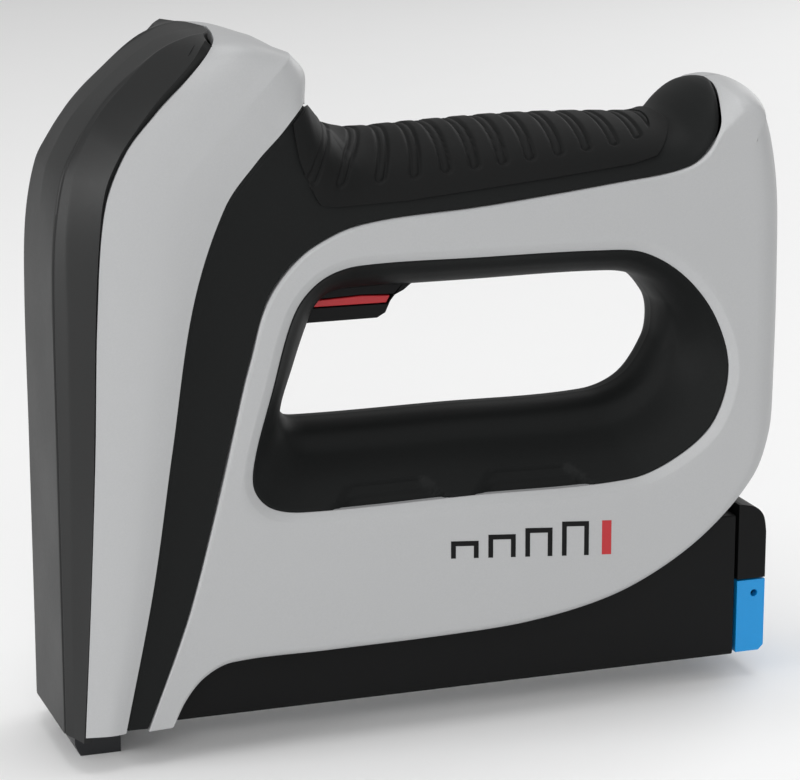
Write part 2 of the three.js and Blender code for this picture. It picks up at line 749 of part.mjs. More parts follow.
function gearPlate(yLow, yHigh, low, holes) {
  const side = shapeOf([[24, low], [42.5, low], [47, 76], [49.5, 96], [46, 116], [24, 116]]);
  const bores = holes.map(([centre, radius]) => rodAcross(centre, radius, -30, 30, 16));
  return bores.reduce((plate, bore) => plate.subtract(bore), slab(side, yLow, yHigh));
}

// ---------------------------------------------------------------- striker

function rackTeeth() {
  const pitch = Math.PI * LIFT_MODULE;
  const line = LIFT_AXLE[0] - LIFT_TEETH * LIFT_MODULE / 2;
  const teeth = [];
  for (let k = -7; k < 1; k += 1) {
    const z = LIFT_AXLE[1] + (k + 0.5) * pitch;
    teeth.push(slab(shapeOf([
      [line - 1.6, z - 0.29 * pitch],
      [line, z - 0.2 * pitch],
      [line + 0.72, z - 0.1 * pitch],
      [line + 0.72, z + 0.1 * pitch],
      [line, z + 0.2 * pitch],
      [line - 1.6, z + 0.29 * pitch],
    ]), -2.6, 2.6));
  }
  return union(...teeth);
}

function plunger() {
  const body = block([7.4, 18.6], [-7, 7], [PLUNGER_LOW, PLUNGER_HIGH]);
  const spine = block([18.5, 19.8], [-3.4, 3.4], [PLUNGER_LOW, PLUNGER_HIGH]);
  const bladeSlot = block([BLADE_X - 0.9, BLADE_X + 0.9], [-BLADE_HALF - GAP, BLADE_HALF + GAP], [60, 86]);
  const boss = rodUp(COLUMN_X, 0, 3.4, PLUNGER_HIGH - 0.2, PLUNGER_HIGH + 6, 16);
  return union(body, spine, boss, rackTeeth()).subtract(bladeSlot);
}

function driverBlade() {
  const x = [BLADE_X - BLADE_THICK / 2, BLADE_X + BLADE_THICK / 2];
  return block(x, [-BLADE_HALF, BLADE_HALF], [24, 85.6]);
}

function springSeat() {
  return rodUp(COLUMN_X, 0, 6.4, SPRING_HIGH + GAP, SPRING_HIGH + 3, 20)
    .add(rodUp(COLUMN_X, 0, 3.4, SPRING_HIGH - 4, SPRING_HIGH + 1, 16));
}

function guideRail(side) {
  return rodUp(COLUMN_X, side * 9.4, 1.8, 60, 148, 14);
}

// ---------------------------------------------------------------- trigger

const TRIGGER_SIDE = [
  [62.4, 105], [63.4, 104.4], [84, 104.4], [86.2, 105.6], [88, 109.6], [91, 111], [93.6, 113], [93.6, 117],
  [89, 117.6], [62.4, 113.6],
];
const INLAY_SIDE = [[61, 107.4], [66, 108], [86.8, 107.8], [88.2, 110.2], [80, 110.6], [61, 110]];

function trigger() {
  const body = slab(shapeOf(TRIGGER_SIDE), -TRIGGER_HALF, TRIGGER_HALF);
  const groove = slab(shapeOf(INLAY_SIDE), -20, 20).subtract(block([65.6, 100], [-5, 5], [100, 120]));
  return body.subtract(groove).subtract(rodAcross(TRIGGER_PIVOT, 1.3, -20, 20, 12));
}

function triggerInlay() {
  const side = [[62.4, 107.8], [66, 108.3], [86.4, 108.1], [87.4, 109.9], [80, 110.3], [62.4, 109.7]];
  const band = slab(shapeOf(side), -TRIGGER_HALF, TRIGGER_HALF);
  return band.subtract(block([65.3, 100], [-5.3, 5.3], [100, 120]));
}

function batteryCradle() {
  const tray = block([60, 128], [-17.6, 17.6], [31.2, 40]);
  return tray.subtract(rodAlong(8.75, 43.5, 9, 50, 140, 24)).subtract(rodAlong(-8.75, 43.5, 9, 50, 140, 24));
}

function switchBody() {
  const buttonBore = block([72.7, 76.3], [-1.7, 1.7], [120, 126.2]);
  return block([70.5, 89.5], [-3.2, 3.2], [121.5, 132]).subtract(buttonBore);
}

function socketRoom() {
  return rodAlong(0, 98, 4.3, 175, 200, 16);
}

function chargeSocket() {
  const barrel = rodAlong(0, 98, 4, 182.6, 187.1, 16);
  const bore = rodAlong(0, 98, 2.8, 184, 200, 16);
  const pin = rodAlong(0, 98, 0.8, 183, 186.6, 8);
  return barrel.subtract(bore).add(pin);
}

// ---------------------------------------------------------------- assembly

const body = housing();
piece("housing_left", halfOf(body, -1), DARK);
piece("housing_right", halfOf(body, 1), DARK);
piece("front_cover", frontCover(), COVER_DARK);
piece("head_saddle", headSaddle(), SILVER);
piece("silver_panel_left", silverPanel(-1), SILVER);
piece("silver_panel_right", silverPanel(1).subtract(screwHoles()), SILVER);
piece("grip_sleeve", gripSleeve(), RUBBER);

piece("magazine_housing", magazineHousing(), BLACK);
piece("feed_channel", feedChannel(), STEEL);
piece("tray_rail", trayRail(), STEEL);
piece("rear_cap", rearCap(), BLACK);
piece("release_latch", releaseLatch(), BLUE);
piece("latch_pin", rodAcross(LATCH_PIVOT, LATCH_PIN, -9.6, 9.6, 10), STEEL);
piece("latch_spring", latchSpring(), STEEL);
piece("staple_strip", stapleStrip(), STEEL);
piece("staple_pusher", staplePusher(), BLACK_STEEL);
piece("nose_piece", nosePiece(), BLACK_STEEL);
piece("driver_guide", driverGuide(), STEEL);

piece("driver_blade", driverBlade(), STEEL);
piece("plunger", plunger(), BLACK_STEEL);
piece("guide_rail_left", guideRail(-1), STEEL);
piece("guide_rail_right", guideRail(1), STEEL);
piece("main_spring", coil(5, 0.8, 9, SPRING_HIGH - SPRING_LOW).translate([COLUMN_X, 0, SPRING_LOW]), STEEL);
piece("spring_seat", springSeat(), NYLON);
piece("pusher_spring", pusherSpring(), STEEL);
piece("bumper", block([11, 18.6], [-7, 7], [65, PLUNGER_LOW - GAP]), RUBBER);

piece("lift_gear", liftGear(), STEEL);
piece("second_gear", secondGear(), STEEL);
piece("first_gear", firstGear(), NYLON);
piece("motor_pinion", motorPinion(), BRASS);
piece("lift_axle", rodAcross(LIFT_AXLE, 2.7, -8.4, 12.6, 16), STEEL);
piece("second_axle", rodAcross(SECOND_AXLE, AXLE_RADIUS, -8.4, 12.6, 14), STEEL);
piece("first_axle", rodAcross(FIRST_AXLE, 1.5, 6.4, 17.4, 14), STEEL);
piece("gear_plate_left", gearPlate(-8.4, -7, 63, [[LIFT_AXLE, 3], [SECOND_AXLE, 2.3]]), STEEL);
const RIGHT_BORES = [[LIFT_AXLE, 3], [SECOND_AXLE, 2.3], [FIRST_AXLE, 5]];
piece("gear_plate_right", gearPlate(10.4, 11.8, 53, RIGHT_BORES), STEEL);
piece("motor", motor(), STEEL);
piece("motor_shaft", rodAcross(MOTOR_AXIS, 1, MOTOR_BACK + 0.4, 16.8, 10), STEEL);

piece("trigger", trigger(), BLACK);
piece("trigger_inlay", triggerInlay(), RED);
piece("trigger_pin", rodAcross(TRIGGER_PIVOT, 1, -9.6, 9.6, 12), STEEL);
piece("trigger_spring", coil(1.8, 0.35, 4, TRIGGER_SPRING_HIGH - TRIGGER_SPRING_LOW, 8)
  .translate([TRIGGER_SPRING_X, 0, TRIGGER_SPRING_LOW]), STEEL);
piece("switch_body", switchBody(), BLACK);
piece("switch_button", block([73, 76], [-1.4, 1.4], [115.9, 123.8]), RED);

[-1, 1].forEach((side) => {
  const name = side < 0 ? "battery_cell_left" : "battery_cell_right";
  piece(name, rodAlong(side * 8.75, 43.5, 8.6, 62, 126, 24), CELL);
});
piece("battery_cradle", batteryCradle(), BLACK);
piece("control_board", block([180, 181.6], [-13, 13], [74, 122]), BOARD);
piece("charge_socket", chargeSocket(), BLACK);

HOUSING_SCREWS.forEach(({ x, z }, index) => {
  const head = rodAcross([x, z], 3.3, 14.2, 16.4, 12);
  const shank = rodAcross([x, z], 1.5, -10, 14.4, 8);
  const drive = rodAcross([x, z], 1.3, 15.4, 20, 6);
  piece(`housing_screw_${index + 1}`, head.add(shank).subtract(drive), STEEL);
});

export default model;
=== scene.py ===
"""Looks of a cordless staple gun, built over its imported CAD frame.

Every new piece is a grid of points, worked out as whole arrays in the tool's own millimetres: X = 0 at
the front face, Y = 0 in the plane between the two halves, Z = 0 under the nose foot. placed() turns
them into the frame's metres. The left side has negative Y, and the right side is its mirror image.
"""

import json
import math

import bmesh
import bpy
import numpy as np
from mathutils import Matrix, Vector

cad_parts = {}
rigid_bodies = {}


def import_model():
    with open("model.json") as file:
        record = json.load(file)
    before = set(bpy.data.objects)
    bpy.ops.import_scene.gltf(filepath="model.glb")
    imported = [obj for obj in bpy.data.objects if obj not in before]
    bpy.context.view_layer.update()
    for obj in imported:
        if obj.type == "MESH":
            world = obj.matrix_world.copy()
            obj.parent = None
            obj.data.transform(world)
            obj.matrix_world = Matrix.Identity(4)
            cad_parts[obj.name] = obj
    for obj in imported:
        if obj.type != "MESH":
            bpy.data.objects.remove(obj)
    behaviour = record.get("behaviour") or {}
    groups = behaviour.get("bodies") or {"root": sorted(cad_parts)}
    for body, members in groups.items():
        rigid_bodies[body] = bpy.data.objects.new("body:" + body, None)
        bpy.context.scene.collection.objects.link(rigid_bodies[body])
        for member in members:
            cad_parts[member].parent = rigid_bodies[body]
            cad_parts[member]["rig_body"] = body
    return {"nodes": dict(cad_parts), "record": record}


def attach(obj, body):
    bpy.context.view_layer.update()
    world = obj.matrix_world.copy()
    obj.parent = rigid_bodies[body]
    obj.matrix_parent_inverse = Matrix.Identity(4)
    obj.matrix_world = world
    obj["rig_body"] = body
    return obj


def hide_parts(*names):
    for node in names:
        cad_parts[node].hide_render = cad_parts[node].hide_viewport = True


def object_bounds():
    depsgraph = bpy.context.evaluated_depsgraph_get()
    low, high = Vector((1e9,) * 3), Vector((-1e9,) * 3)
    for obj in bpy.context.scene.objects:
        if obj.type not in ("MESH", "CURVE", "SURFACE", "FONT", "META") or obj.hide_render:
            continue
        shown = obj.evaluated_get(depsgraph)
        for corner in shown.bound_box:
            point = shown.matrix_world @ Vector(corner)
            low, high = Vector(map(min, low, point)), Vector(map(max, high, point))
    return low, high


bl_info = {
    "name": "Staple gun looks",
    "version": (1, 0, 0),
    "blender": (4, 5, 0),
    "location": "View3D > Sidebar > Staple gun",
    "description": "Builds the casings, grip, materials and studio of a cordless staple gun",
    "category": "Object",
}

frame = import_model()
CAD_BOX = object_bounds()
FRONT_X = CAD_BOX[0][0]
MM = 0.001

# Points worked out between two neighbouring points of a smooth line.
FINE = 24


# ---------------------------------------------------------------- lines and grids

def placed(points):
    """The tool's millimetres in the frame's metres: scaled, and moved along X to the frame's front."""
    return np.asarray(points, float) * MM + np.array([FRONT_X, 0.0, 0.0])


def dense(points, corners=(), closed=False):
    """Cubic through points of shape (n, ..., k): each slope is the mean of the two chords beside it,
    weighted by their length, and a corner keeps one slope on each side."""
    points = np.asarray(points, float)
    if closed:
        points = np.concatenate([points, points[:1]])
    lanes = points.reshape(len(points), -1, points.shape[-1])
    step = np.linalg.norm(np.diff(lanes, axis=0), axis=2).mean(axis=1) + 1e-9
    shape = (len(step),) + (1,) * (points.ndim - 1)
    span = step.reshape(shape)
    chord = np.diff(points, axis=0) / span
    middle = (span[:-1] * chord[:-1] + span[1:] * chord[1:]) / (span[:-1] + span[1:])
    leave = np.concatenate([chord[:1], middle])
    arrive = np.concatenate([middle, chord[-1:]])
    if closed and 0 not in corners:
        join = (span[-1] * chord[-1] + span[0] * chord[0]) / (span[0] + span[-1])
        leave[0] = join
        arrive[-1] = join
    for corner in corners:
        if 0 < corner < len(chord):
            leave[corner] = chord[corner]
            arrive[corner - 1] = chord[corner - 1]
    s = np.linspace(0, 1, FINE, endpoint=False).reshape((1, FINE) + (1,) * (points.ndim - 1))
    a, b = points[:-1, None], points[1:, None]
    start = (2 * s**3 - 3 * s**2 + 1) * a + (s**3 - 2 * s**2 + s) * span[:, None] * leave[:, None]
    end = (3 * s**2 - 2 * s**3) * b + (s**3 - s**2) * span[:, None] * arrive[:, None]
    curve = (start + end).reshape((-1,) + points.shape[1:])
    return np.concatenate([curve, points[-1:]])


def trace(points, counts, stops=None, corners=(), closed=False):
    """The smooth line through the points, cut into evenly long steps: counts[k] of them between the
    points numbered stops[k] and stops[k + 1]. A closed line leaves its repeated last point out."""
    curve = dense(points, corners, closed)
    lanes = curve.reshape(len(curve), -1, curve.shape[-1])
    steps = np.linalg.norm(np.diff(lanes, axis=0), axis=2).mean(axis=1)
    length = np.concatenate([[0.0], np.cumsum(steps)])
    last = len(points) if closed else len(points) - 1
    stops = list(stops) if stops else [0, last]
    if closed and stops[-1] != last:
        stops.append(last)
    at = [length[stop * FINE] for stop in stops]
    spans = [np.linspace(at[k], at[k + 1], counts[k], endpoint=False) for k in range(len(counts))]
    target = np.concatenate(spans + ([] if closed else [[at[-1]]]))
    low = np.clip(np.searchsorted(length, target, side="right") - 1, 0, len(length) - 2)
    part = (target - length[low]) / np.maximum(length[low + 1] - length[low], 1e-9)
    part = part.reshape((-1,) + (1,) * (curve.ndim - 1))
    return curve[low] * (1 - part) + curve[low + 1] * part


def read_at(line, place):
    """Values of a line of points at fractional places along it, by straight interpolation."""
    low = np.clip(np.floor(place).astype(int), 0, len(line) - 2)
    part = (place - low)[..., None]
    return line[low] * (1 - part) + line[low + 1] * part


def smooth_step(value, low, high):
    """0 below low, 1 above high, and a smooth S between them."""
    t = np.clip((value - low) / (high - low), 0, 1)
    return t * t * (3 - 2 * t)


def sideways(line, closed=True):
    """Normals of a line of (x, z) points, to the right of its direction: of unit length, and longer at
    a corner, so that a line drawn one unit inside keeps its corner."""
    before = np.roll(line, 1, axis=0)
    after = np.roll(line, -1, axis=0)
    if not closed:
        before[0] = line[0]
        after[-1] = line[-1]
    steps = (after - line, line - before)
    units = [step / np.maximum(np.linalg.norm(step, axis=1, keepdims=True), 1e-9) for step in steps]
    along = units[0] + units[1]
    size = np.maximum(np.linalg.norm(along, axis=1, keepdims=True), 1e-9)
    along = along / size / np.clip(size / 2, 0.6, 1)
    return np.stack([along[:, 1], -along[:, 0]], axis=1)


def softened(line, passes):
    """A closed line's values averaged with their neighbours a number of times."""
    for _ in range(passes):
        line = (np.roll(line, 1, axis=0) + 2 * line + np.roll(line, -1, axis=0)) / 4
    return line


def across(points, y):
    """(x, z) points with a y given for each, as (x, y, z)."""
    points = np.asarray(points, float)
    y = np.broadcast_to(y, points.shape[:-1])
    return np.stack([points[..., 0], y, points[..., 1]], axis=-1)


def mirrored(grid):
    """The same grid on the other side of Y = 0."""
    return grid * np.array([1.0, -1.0, 1.0])


# ---------------------------------------------------------------- meshes

def grid_faces(rows, columns, wrap_rows, wrap_columns):
    """Corner numbers of the four-sided faces between neighbouring rows and columns."""
    index = np.arange(rows * columns).reshape(rows, columns)
    right = np.roll(index, -1, axis=1)
    down = np.roll(index, -1, axis=0)
    both = np.roll(down, -1, axis=1)
    faces = np.stack([index, right, both, down], axis=-1)
    kept = faces[:rows if wrap_rows else rows - 1, :columns if wrap_columns else columns - 1]
    return kept.reshape(-1, 4)


def grid_mesh(name, grid, wrap_rows=False, wrap_columns=False, capped=False, inside=None):
    """A mesh of the grid's points. Its faces are turned away from the point inside, or, on a closed
    shape, so that its volume is positive. capped closes the first and last rows with one face each."""
    rows, columns = grid.shape[:2]
    points = grid.reshape(-1, 3)
    faces = grid_faces(rows, columns, wrap_rows, wrap_columns)
    a, b, c, d = (points[faces[:, k]] for k in range(4))
    normal = np.cross(c - a, d - b)
    origin = np.asarray(inside if inside is not None else points.mean(axis=0), float)
    outward = ((a + c) / 2 - origin) * normal
    flip = outward.sum() < 0
    if flip:
        faces = faces[:, ::-1]
    loops = faces.ravel()
    sizes = np.full(len(faces), 4)
    if capped:
        first = np.arange(columns)
        turned = first[::-1]
        near, far = (first, turned) if flip else (turned, first)
        ends = [near, (rows - 1) * columns + far]
        loops = np.concatenate([loops] + ends)
        sizes = np.concatenate([sizes, [columns, columns]])
    mesh = bpy.data.meshes.new(name)
    mesh.vertices.add(len(points))
    mesh.vertices.foreach_set("co", placed(points).ravel())
    mesh.loops.add(len(loops))
    mesh.loops.foreach_set("vertex_index", loops)
    mesh.polygons.add(len(sizes))
    mesh.polygons.foreach_set("loop_start", np.concatenate([[0], np.cumsum(sizes)[:-1]]))
    mesh.polygons.foreach_set("loop_total", sizes)
    mesh.update(calc_edges=True)
    mesh.validate()
    return mesh


def finished(name, mesh, body, slot, wall=0.0, bevel=0.0, keep_sharp=40):
    """Turns a mesh into a piece: shaded smooth up to an angle, walled and bevelled by modifiers, riding
    on a body, and finished in a material slot. wall and bevel are in millimetres."""
    piece = bpy.data.objects.new(name, mesh)
    bpy.context.scene.collection.objects.link(piece)
    mesh.polygons.foreach_set("use_smooth", np.ones(len(mesh.polygons), bool))
    mesh.set_sharp_from_angle(angle=math.radians(keep_sharp))
    if wall:
        solid = piece.modifiers.new("wall", "SOLIDIFY")
        solid.thickness = wall * MM
        solid.offset = -1
    if bevel:
        edge = piece.modifiers.new("edge", "BEVEL")
        edge.width = bevel * MM
        edge.segments = 2
        edge.limit_method = "ANGLE"
        edge.angle_limit = math.radians(keep_sharp)
        edge.harden_normals = True
    piece.data.materials.append(material_of(slot))
    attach(piece, body)
    return piece


def joined_grids(name, grids, inside=None, merge=0.02):
    """One mesh of several grids, with the points that meet merged. merge is in millimetres."""
    build = bmesh.new()
    for grid in grids:
        part = grid_mesh(name, grid, inside=inside)
        build.from_mesh(part)
        bpy.data.meshes.remove(part)
    bmesh.ops.remove_doubles(build, verts=build.verts, dist=merge * MM)
    bmesh.ops.recalc_face_normals(build, faces=build.faces)
    mesh = bpy.data.meshes.new(name)
    build.to_mesh(mesh)
    build.free()
    return mesh


def rounded_copy(name, node, slot, width, keep_sharp=28):
    """A copy of a CAD node with its points merged, flat faces joined and edges rounded by a Bevel. It
    replaces the node, and rides on the node's body."""
    source = frame["nodes"][node]
    build = bmesh.new()
    build.from_mesh(source.data)
    bmesh.ops.remove_doubles(build, verts=build.verts, dist=1e-6)
    bmesh.ops.dissolve_limit(build, angle_limit=math.radians(0.5), verts=build.verts, edges=build.edges)
    mesh = bpy.data.meshes.new(name)
    build.to_mesh(mesh)
    build.free()
    piece = finished(name, mesh, source["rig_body"], slot, bevel=width, keep_sharp=keep_sharp)
    piece.modifiers["edge"].segments = 3
    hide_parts(node)
    return piece


# ---------------------------------------------------------------- sizes and colours

def record_colour(slot):
    """A material slot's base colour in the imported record."""
    for entry in frame["record"]["materials"]:
        if entry["slot"] == slot:
            return tuple(entry["base_color"])
    raise ValueError(f"the record has no material slot {slot}")


def length(name, description, default):
    """A length property, in metres, with its default given in millimetres."""
    return bpy.props.FloatProperty(
        name=name, description=description, default=default * MM, min=0.0, unit="LENGTH", precision=5
    )


def colour(name, description, default):
    """A colour property in linear values."""
    return bpy.props.FloatVectorProperty(
        name=name, description=description, default=default, subtype="COLOR", size=3, min=0.0, max=1.0
    )


class StapleGunSizes(bpy.types.PropertyGroup):
    """Sizes that shape the visible casings"""

    wall: length("Wall", "Thickness of the moulded casings", 2.2)
    pad_lift: length("Pad lift", "Height of the grip pad over the handle", 0.9)
    slot_width: length("Slot width", "Width of each slot outline in the grip pad", 3.2)
    slot_depth: length("Slot depth", "Depth of the slot outlines in the grip pad", 0.55)
    mark_line: length("Mark line", "Line width of the printed staple marks", 1.3)


class StapleGunColours(bpy.types.PropertyGroup):
    """Base colours of the visible materials"""

    shell: colour("Shell", "Dark housing", (0.0085, 0.0092, 0.0092))
    cover: colour("Cover", "Nose cover", (0.013, 0.0134, 0.0134))
    silver: colour("Silver", "Saddle and side panels", record_colour("silver_shell"))
    rubber: colour("Rubber", "Grip pad", (0.0075, 0.0078, 0.0078))
    black: colour("Black", "Magazine and trigger", (0.0042, 0.0044, 0.0046))
    blue: colour("Blue", "Release latch", record_colour("blue_latch"))
    red: colour("Red", "Trigger inlay and mark", record_colour("red_inlay"))
    floor: colour("Floor", "Studio floor", (0.9, 0.9, 0.9))


SLOT_COLOURS = {
    "dark_shell": "shell",
    "dark_cover": "cover",
    "silver_shell": "silver",
    "grip_rubber": "rubber",
    "black_moulding": "black",
    "blue_latch": "blue",
    "red_inlay": "red",
}


def sizes():
    """The scene's sizes."""
    return bpy.context.scene.staple_gun_sizes


# ---------------------------------------------------------------- shader groups

def new_group(name, inputs, outputs):
    """An empty shader group with float or colour sockets. inputs holds (name, type, default)."""
    group = bpy.data.node_groups.new(name, "ShaderNodeTree")
    for label, kind, default in inputs:
        socket = group.interface.new_socket(label, in_out="INPUT", socket_type=kind)
        socket.default_value = default
    for label, kind in outputs:
        group.interface.new_socket(label, in_out="OUTPUT", socket_type=kind)
    return group, group.nodes.new("NodeGroupInput"), group.nodes.new("NodeGroupOutput")


def calculate(group, operation, first, second):
    """A Math node fed by two sockets or numbers, and its result socket."""
    node = group.nodes.new("ShaderNodeMath")
    node.operation = operation
    for socket, value in zip(node.inputs, (first, second)):
        if isinstance(value, (int, float)):
            socket.default_value = value
        else:
            group.links.new(value, socket)
    return node.outputs[0]


def noise(group, scale, detail, stretch=(1, 1, 1)):
    """A noise texture on object coordinates, with its scale from a socket or number."""
    place = group.nodes.new("ShaderNodeTexCoord")
    mapping = group.nodes.new("ShaderNodeMapping")
    mapping.inputs["Scale"].default_value = stretch
    texture = group.nodes.new("ShaderNodeTexNoise")
    texture.inputs["Detail"].default_value = detail
    group.links.new(place.outputs["Object"], mapping.inputs["Vector"])
    group.links.new(mapping.outputs["Vector"], texture.inputs["Vector"])
    if isinstance(scale, (int, float)):
        texture.inputs["Scale"].default_value = scale
    else:
        group.links.new(scale, texture.inputs["Scale"])
    return texture.outputs["Fac"]


def tone_group():
    """Colour whose lightness drifts slowly over the piece, with a finer speckle on top."""
    group, given, result = new_group(
        "tone_drift",
        [("Colour", "NodeSocketColor", (0.5, 0.5, 0.5, 1)), ("Drift", "NodeSocketFloat", 0.1),
         ("Speckle", "NodeSocketFloat", 0.05), ("Speckle Scale", "NodeSocketFloat", 2500.0)],
        [("Colour", "NodeSocketColor")],
    )
    slow = calculate(group, "SUBTRACT", noise(group, 28.0, 3.0), 0.5)
    fast = calculate(group, "SUBTRACT", noise(group, given.outputs["Speckle Scale"], 2.0), 0.5)
    drift = calculate(group, "MULTIPLY", slow, given.outputs["Drift"])
    speckle = calculate(group, "MULTIPLY", fast, given.outputs["Speckle"])
    total = calculate(group, "ADD", calculate(group, "ADD", drift, speckle), 1.0)
    scale = group.nodes.new("ShaderNodeVectorMath")
    scale.operation = "SCALE"
    group.links.new(given.outputs["Colour"], scale.inputs[0])
    group.links.new(total, scale.inputs["Scale"])
    group.links.new(scale.outputs[0], result.inputs["Colour"])
    return group


def rough_group():
    """Roughness that varies with handling: a base value plus a slow noise and a fine one."""
    group, given, result = new_group(
        "handled_roughness",
        [("Roughness", "NodeSocketFloat", 0.5), ("Spread", "NodeSocketFloat", 0.1)],
        [("Roughness", "NodeSocketFloat")],
    )
    slow = calculate(group, "SUBTRACT", noise(group, 45.0, 4.0), 0.5)
    fine = calculate(group, "SUBTRACT", noise(group, 900.0, 2.0), 0.5)
    both = calculate(group, "ADD", slow, calculate(group, "MULTIPLY", fine, 0.4))
    varied = calculate(group, "MULTIPLY", both, given.outputs["Spread"])
    group.links.new(calculate(group, "ADD", varied, given.outputs["Roughness"]), result.inputs["Roughness"])
    return group


def grain_group():
    """Height of a spark-eroded mould's grain: small round pits with a finer noise between them."""
    group, given, result = new_group(
        "mould_grain",
        [("Scale", "NodeSocketFloat", 1500.0)],
        [("Height", "NodeSocketFloat")],
    )
    place = group.nodes.new("ShaderNodeTexCoord")
    pits = group.nodes.new("ShaderNodeTexVoronoi")
    pits.feature = "SMOOTH_F1"
    group.links.new(place.outputs["Object"], pits.inputs["Vector"])
    group.links.new(given.outputs["Scale"], pits.inputs["Scale"])
    fine = noise(group, calculate(group, "MULTIPLY", given.outputs["Scale"], 1.7), 3.0)
    mixed = calculate(group, "ADD", pits.outputs["Distance"], calculate(group, "MULTIPLY", fine, 0.6))
    group.links.new(mixed, result.inputs["Height"])
    return group


def brushed_group():
    """Height of fine scratches along X, as on drawn or ground steel."""
    group, given, result = new_group(
        "drawn_lines",
        [("Scale", "NodeSocketFloat", 700.0)],
        [("Height", "NodeSocketFloat")],
    )
    group.links.new(noise(group, given.outputs["Scale"], 4.0, (0.03, 1, 1)), result.inputs["Height"])
    return group


GROUP_MAKERS = {
    "tone_drift": tone_group,
    "handled_roughness": rough_group,
    "mould_grain": grain_group,
    "drawn_lines": brushed_group,
}


def placed_group(tree, name):
    """A node that uses one of the shader groups, which is made at its first use."""
    node = tree.nodes.new("ShaderNodeGroup")
    node.node_tree = bpy.data.node_groups.get(name) or GROUP_MAKERS[name]()
    return node


# ---------------------------------------------------------------- materials

# Each finish: roughness and its spread, grain scale, grain depth in millimetres, slow drift of the tone
# and its speckle, then two values that are the same all over: specular level and metallic.
BUMP_STRENGTH = 0.6
FINISH_KEYS = ("rough", "spread", "grain", "depth", "drift", "speckle", "specular", "metal")
FINISHES = {
    "dark_shell": (0.55, 0.12, 1700, 0.02, 0.12, 0.25, 0.12, 0.0),
    "dark_cover": (0.46, 0.1, 2000, 0.014, 0.08, 0.16, 0.2, 0.0),
    "silver_shell": (0.42, 0.08, 2600, 0.006, 0.03, 0.1, 0.5, 0.0),
    "grip_rubber": (0.6, 0.16, 1300, 0.022, 0.16, 0.2, 0.12, 0.0),
    "black_moulding": (0.5, 0.12, 1800, 0.014, 0.12, 0.2, 0.15, 0.0),
    "blue_latch": (0.36, 0.08, 2200, 0.006, 0.05, 0.08, 0.5, 0.0),
    "red_inlay": (0.36, 0.08, 2200, 0.006, 0.06, 0.1, 0.5, 0.0),
    "white_nylon": (0.45, 0.1, 1500, 0.01, 0.06, 0.1, 0.5, 0.0),
    "cell_wrap": (0.3, 0.08, 900, 0.008, 0.08, 0.1, 0.5, 0.0),
    "board": (0.4, 0.1, 1200, 0.01, 0.2, 0.3, 0.5, 0.0),
    "bright_steel": (0.32, 0.14, 700, 0.008, 0.08, 0.1, 0.5, 1.0),
    "black_steel": (0.42, 0.16, 900, 0.01, 0.15, 0.2, 0.5, 0.7),
    "brass_gear": (0.33, 0.12, 800, 0.008, 0.1, 0.1, 0.5, 1.0),
}


def base_colour(slot):
    """A slot's colour from the scene's settings, or from the record where the scene has none."""
    if slot in SLOT_COLOURS:
        return tuple(getattr(bpy.context.scene.staple_gun_colours, SLOT_COLOURS[slot]))
    return record_colour(slot)


def set_inputs(node, values):
    """Sets a node's unlinked inputs by name."""
    for name, value in values.items():
        node.inputs[name].default_value = value


def material_of(slot):
    """The slot's procedural material, made at its first use: tone, roughness and relief all vary."""
    name = f"{slot}_finish"
    found = bpy.data.materials.get(name)
    if found:
        return found
    look = dict(zip(FINISH_KEYS, FINISHES[slot]))
    material = bpy.data.materials.new(name)
    material.use_nodes = True
    tree = material.node_tree
    shader = tree.nodes["Principled BSDF"]
    set_inputs(shader, {"Metallic": look["metal"], "Specular IOR Level": look["specular"]})
    tone = placed_group(tree, "tone_drift")
    set_inputs(tone, {"Colour": base_colour(slot) + (1.0,), "Drift": look["drift"]})
    set_inputs(tone, {"Speckle": look["speckle"], "Speckle Scale": look["grain"]})
    rough = placed_group(tree, "handled_roughness")
    set_inputs(rough, {"Roughness": look["rough"], "Spread": look["spread"]})
    relief = placed_group(tree, "drawn_lines" if look["metal"] else "mould_grain")
    set_inputs(relief, {"Scale": look["grain"]})
    bump = tree.nodes.new("ShaderNodeBump")
    set_inputs(bump, {"Strength": BUMP_STRENGTH, "Distance": look["depth"] * MM})
    tree.links.new(tone.outputs["Colour"], shader.inputs["Base Color"])
    tree.links.new(rough.outputs["Roughness"], shader.inputs["Roughness"])
    tree.links.new(relief.outputs["Height"], bump.inputs["Height"])
    tree.links.new(bump.outputs["Normal"], shader.inputs["Normal"])
    return material


# ---------------------------------------------------------------- side outlines

def panel_half(points):
    """Half the tool's width at a side panel's face, for (x, z) points: it narrows to the rear and up."""
    return 24.0 - 0.0085 * points[..., 0] - 0.014 * np.clip(points[..., 1] - 20, 0, None)


# Nine stretches run round the side panel, and the same nine round its rim and the handle opening:
# front, top front corner, top, horn's front, horn's top, rear, lower rear corner, bottom, toe.
RING_COUNTS = [70, 44, 56, 54, 56, 28, 64, 84, 44]

PANEL_EDGE = [
    (19.3, 9.2), (23, 18.7), (27, 28.7), (31, 40), (38.5, 67), (45, 93.3), (47.3, 101.2),
    (50, 110.8), (53.9, 117.9), (60.3, 124.6), (66.7, 128.3), (73, 130.6), (84, 132.2),
    (104.9, 133.4), (125, 135.3), (145, 137.5),
    (155.8, 138.7), (163, 140.6), (167.6, 144.2), (170.6, 149.5), (172.4, 155), (174.6, 159.4),
    (178, 159.7), (181.6, 158.7), (184.6, 155.8), (187.4, 145), (189, 124),
    (189, 80), (188, 68.5), (183.5, 57.5), (171.5, 45.4), (157, 36), (141, 29.5),
    (120, 25.6), (98, 24.5), (66, 24.2), (41, 24), (34, 21.2), (29, 16), (25.4, 9.4),
]
PANEL_STOPS = [0, 6, 12, 15, 21, 26, 27, 32, 36]
PANEL_CORNERS = (0, 21, 39)

